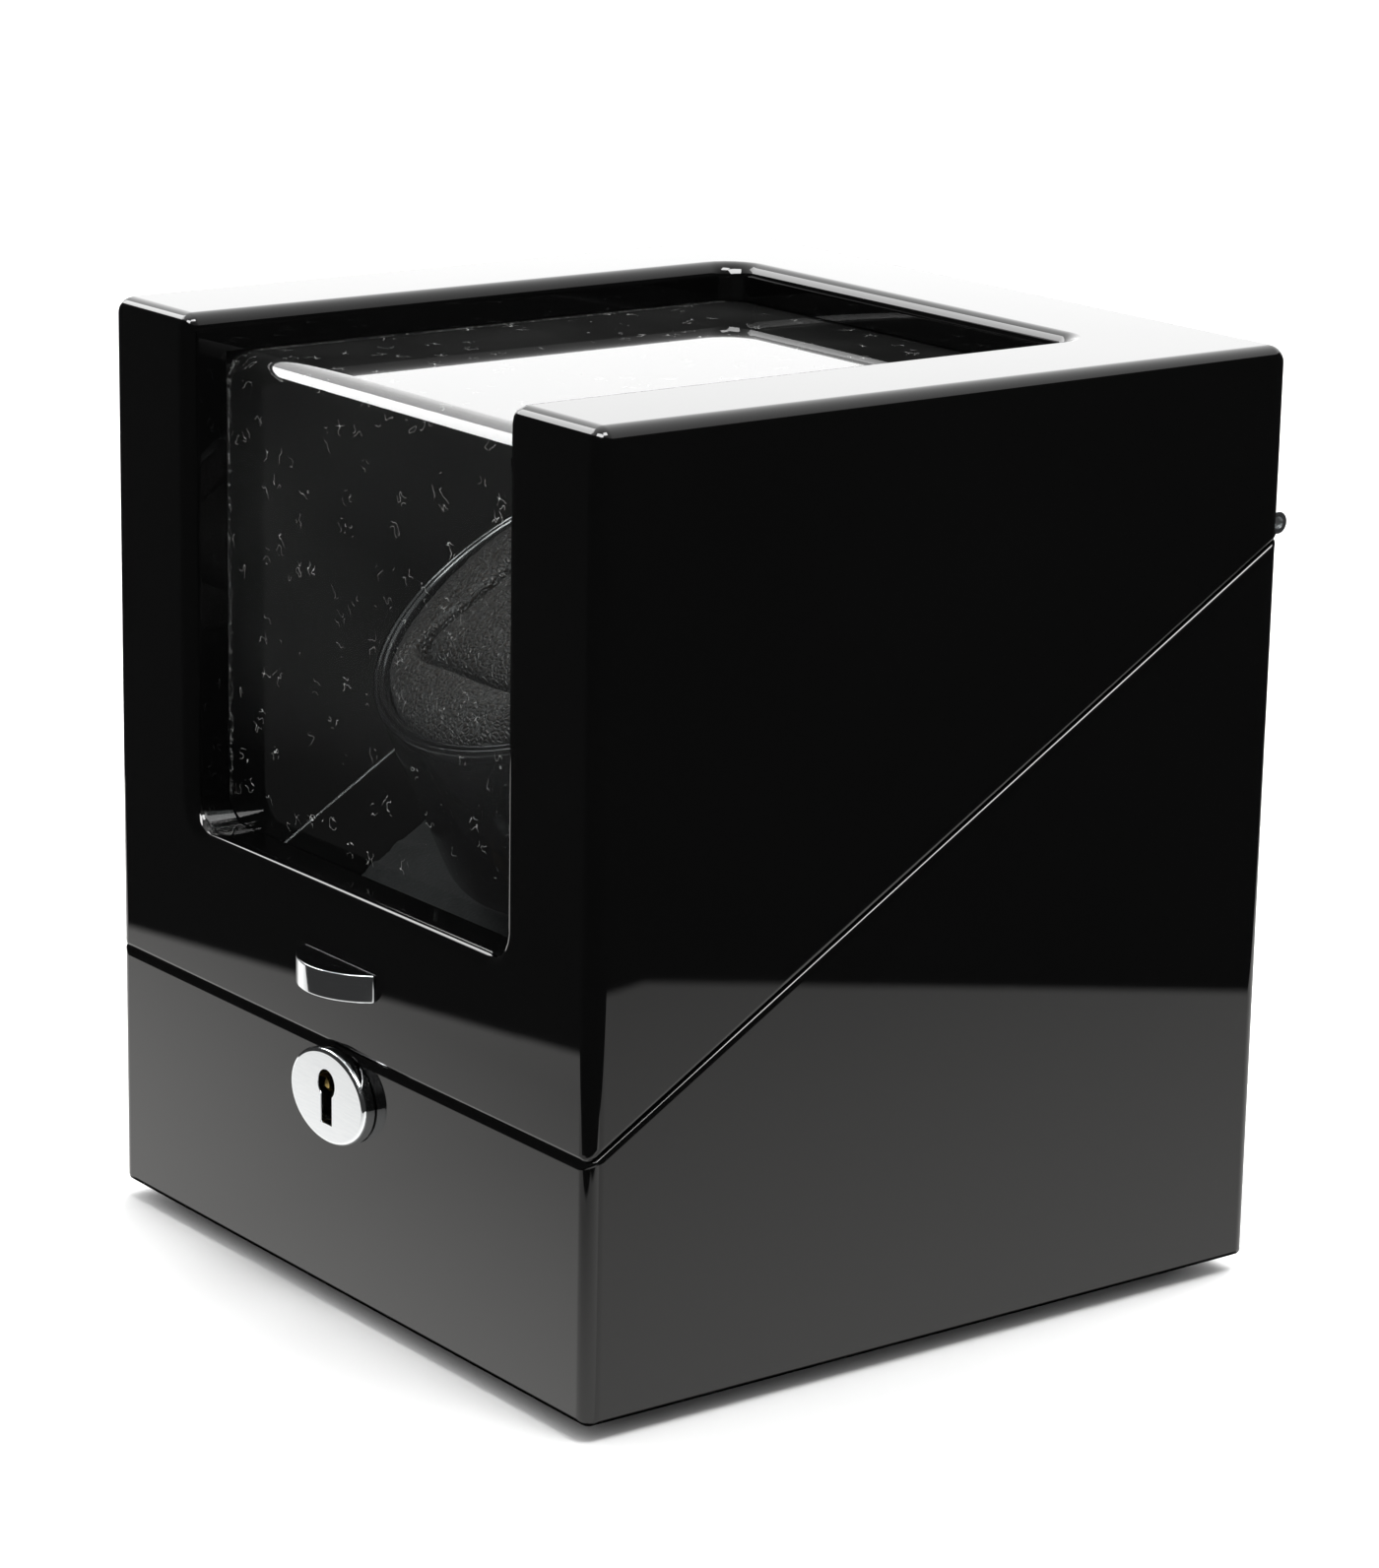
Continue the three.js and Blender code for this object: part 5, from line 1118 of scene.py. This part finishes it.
KNOB_RADIUS = 6
KNOB_FACE = (knob_high.y - depth_middle) / MM
knob_inner = (knob_low.y - depth_middle) / MM
flutes = 24
knob = linked("turns_knob_moulding", lathe([
    (3, knob_inner), (3, PANEL_OUTER + 0.5), (KNOB_RADIUS, PANEL_OUTER + 0.5),
    (KNOB_RADIUS, KNOB_FACE - 0.7),
    (KNOB_RADIUS - 0.2, KNOB_FACE - 0.25), (KNOB_RADIUS - 0.7, KNOB_FACE)], 96))
for vertex in knob.data.vertices:
    if math.hypot(vertex.co.x, vertex.co.y) > KNOB_RADIUS - 0.3:
        angle = math.atan2(vertex.co.y, vertex.co.x)
        vertex.co.xy *= 1 - 0.03 * max(0, math.cos(flutes * angle))
carve(knob, block(-0.5, 0.5, -KNOB_RADIUS - 1, -1.5, KNOB_FACE - 0.6, KNOB_FACE + 1))
fitted(knob, on_panel(KNOB_X), textured, "knob", "matt_black_plastic", "turns_knob")

lever = linked("direction_lever_moulding", prism(
    rounded(LEVER_X - 1.5, LEVER_X + 1.5, PANEL_MIDDLE - 2, PANEL_MIDDLE + 2, 0.4),
    (lever_low.y - depth_middle) / MM, (lever_high.y - depth_middle) / MM, "y"))
bevelled(lever, 0.35, 3)
fitted(lever, CASE, textured, "lever", "matt_black_plastic", "direction_lever")

JACK_COLLAR = 4.5
JACK_BORE = 3.2
jack_face = (jack_high.y - depth_middle) / MM
jack_inner = (jack_low.y - depth_middle) / MM
jack = linked("inlet_moulding", lathe([
    (0.05, jack_inner), (JACK_COLLAR, jack_inner), (JACK_COLLAR, jack_face - 0.3),
    (JACK_COLLAR - 0.3, jack_face), (JACK_BORE + 0.3, jack_face), (JACK_BORE, jack_face - 0.4),
    (JACK_BORE, jack_face - 9), (1, jack_face - 9),
    (1, jack_face - 1.4), (0.6, jack_face - 1), (0.05, jack_face - 0.9)], 48))
fitted(jack, on_panel(JACK_X), textured, "base", "matt_black_plastic", "dc_jack")

# ---- Hinge, lock, drive and floor ---------------------------------------------------------------
# These are stock or plainly machined pieces, and keep the shapes that they have in the frame. Each
# takes the finish of its own material.
zinc, tree, shader = material("bright_zinc_plated_steel", Metallic=1, Roughness=0.35)
# Bright zinc on steel: grey with a satin gloss and faint bluish clouds.
position = object_space(tree)
cloud = grain_of(tree, position, 5, 4)
tone = tone_of(tree, cloud, "#a9adb1", "#c6c8c9")
soft = between(tree, cloud, 0.25, 0.45)
plug(tree, shader, {"Base Color": tone, "Roughness": soft})

painted, tree, shader = material("satin_painted_fibreboard", Roughness=0.5)
# Fibreboard under one coat of satin black: slightly fuzzy, with the board's fibres telling through.
position = object_space(tree)
fibre = grain_of(tree, position, 1.4, 5)
tone = tone_of(tree, fibre, "#131313", "#1e1e1d")
bump = bump_of(tree, fibre, 0.4, 0.08)
plug(tree, shader, {"Base Color": tone, "Normal": bump})

fibreboard, tree, shader = material("bare_fibreboard", Roughness=0.85)
# Sawn fibreboard: warm brown, flecked with darker and paler fibres.
position = object_space(tree)
fibre = grain_of(tree, position, 1.2, 6)
spread_of_tone = ramp(tree, fibre, 0.3, 0.7)
tone = tone_of(tree, spread_of_tone, "#84623f", "#b08d63")
bump = bump_of(tree, fibre, 0.5, 0.1)
plug(tree, shader, {"Base Color": tone, "Normal": bump})

tinned, tree, shader = material("tinned_steel_can", Metallic=1, Roughness=0.3)
# Tin plate, drawn and rolled: soft grey with fine lines along the roll.
position = object_space(tree)
stretched = node(tree, "ShaderNodeMapping", {"Vector": position, "Scale": (1, 20, 20)}).outputs[0]
roll = grain_of(tree, stretched, 8, 3)
tone = tone_of(tree, roll, "#b5b5b2", "#cfcfcc")
soft = between(tree, roll, 0.22, 0.42)
plug(tree, shader, {"Base Color": tone, "Roughness": soft})

mask, tree, shader = material("green_solder_mask", Roughness=0.35)
# Solder mask over copper on glass-epoxy: green, paler where a track runs under it.
position = object_space(tree)
tracks = node(tree, "ShaderNodeTexBrick", {"Vector": position, "Scale": per(6), "Mortar Size": 0.03,
                                           "Color1": linear("#14502a"), "Color2": linear("#185a31"),
                                           "Mortar": linear("#2f7a4a")})
tree.links.new(tracks.outputs["Color"], shader.inputs["Base Color"])

brass, tree, shader = material("plain_rolled_brass", Metallic=1, Roughness=0.32)
# Rolled brass, unlacquered: yellow, dulled unevenly by handling.
position = object_space(tree)
dulling = grain_of(tree, position, 6, 4)
tone = tone_of(tree, dulling, "#a98a4a", "#cdb06a")
soft = between(tree, dulling, 0.22, 0.5)
plug(tree, shader, {"Base Color": tone, "Roughness": soft})

finishes = {
    "piano_lacquer": lacquer, "clear_acrylic": acrylic, "chrome_plate": chrome, "zinc_steel": zinc,
    "rubber": rubber, "black_board": painted, "raw_board": fibreboard, "velvet": velveteen,
    "gloss_black_plastic": moulded, "leather": leather, "matt_black_plastic": textured,
    "steel_can": tinned, "circuit_board": mask, "brass": brass,
}
for part in frame["record"]["subparts"]:
    carried = frame["nodes"][part["node"]]
    for slot_of_mesh in carried.material_slots:
        slot_of_mesh.material = finishes[part["material_slot"]]
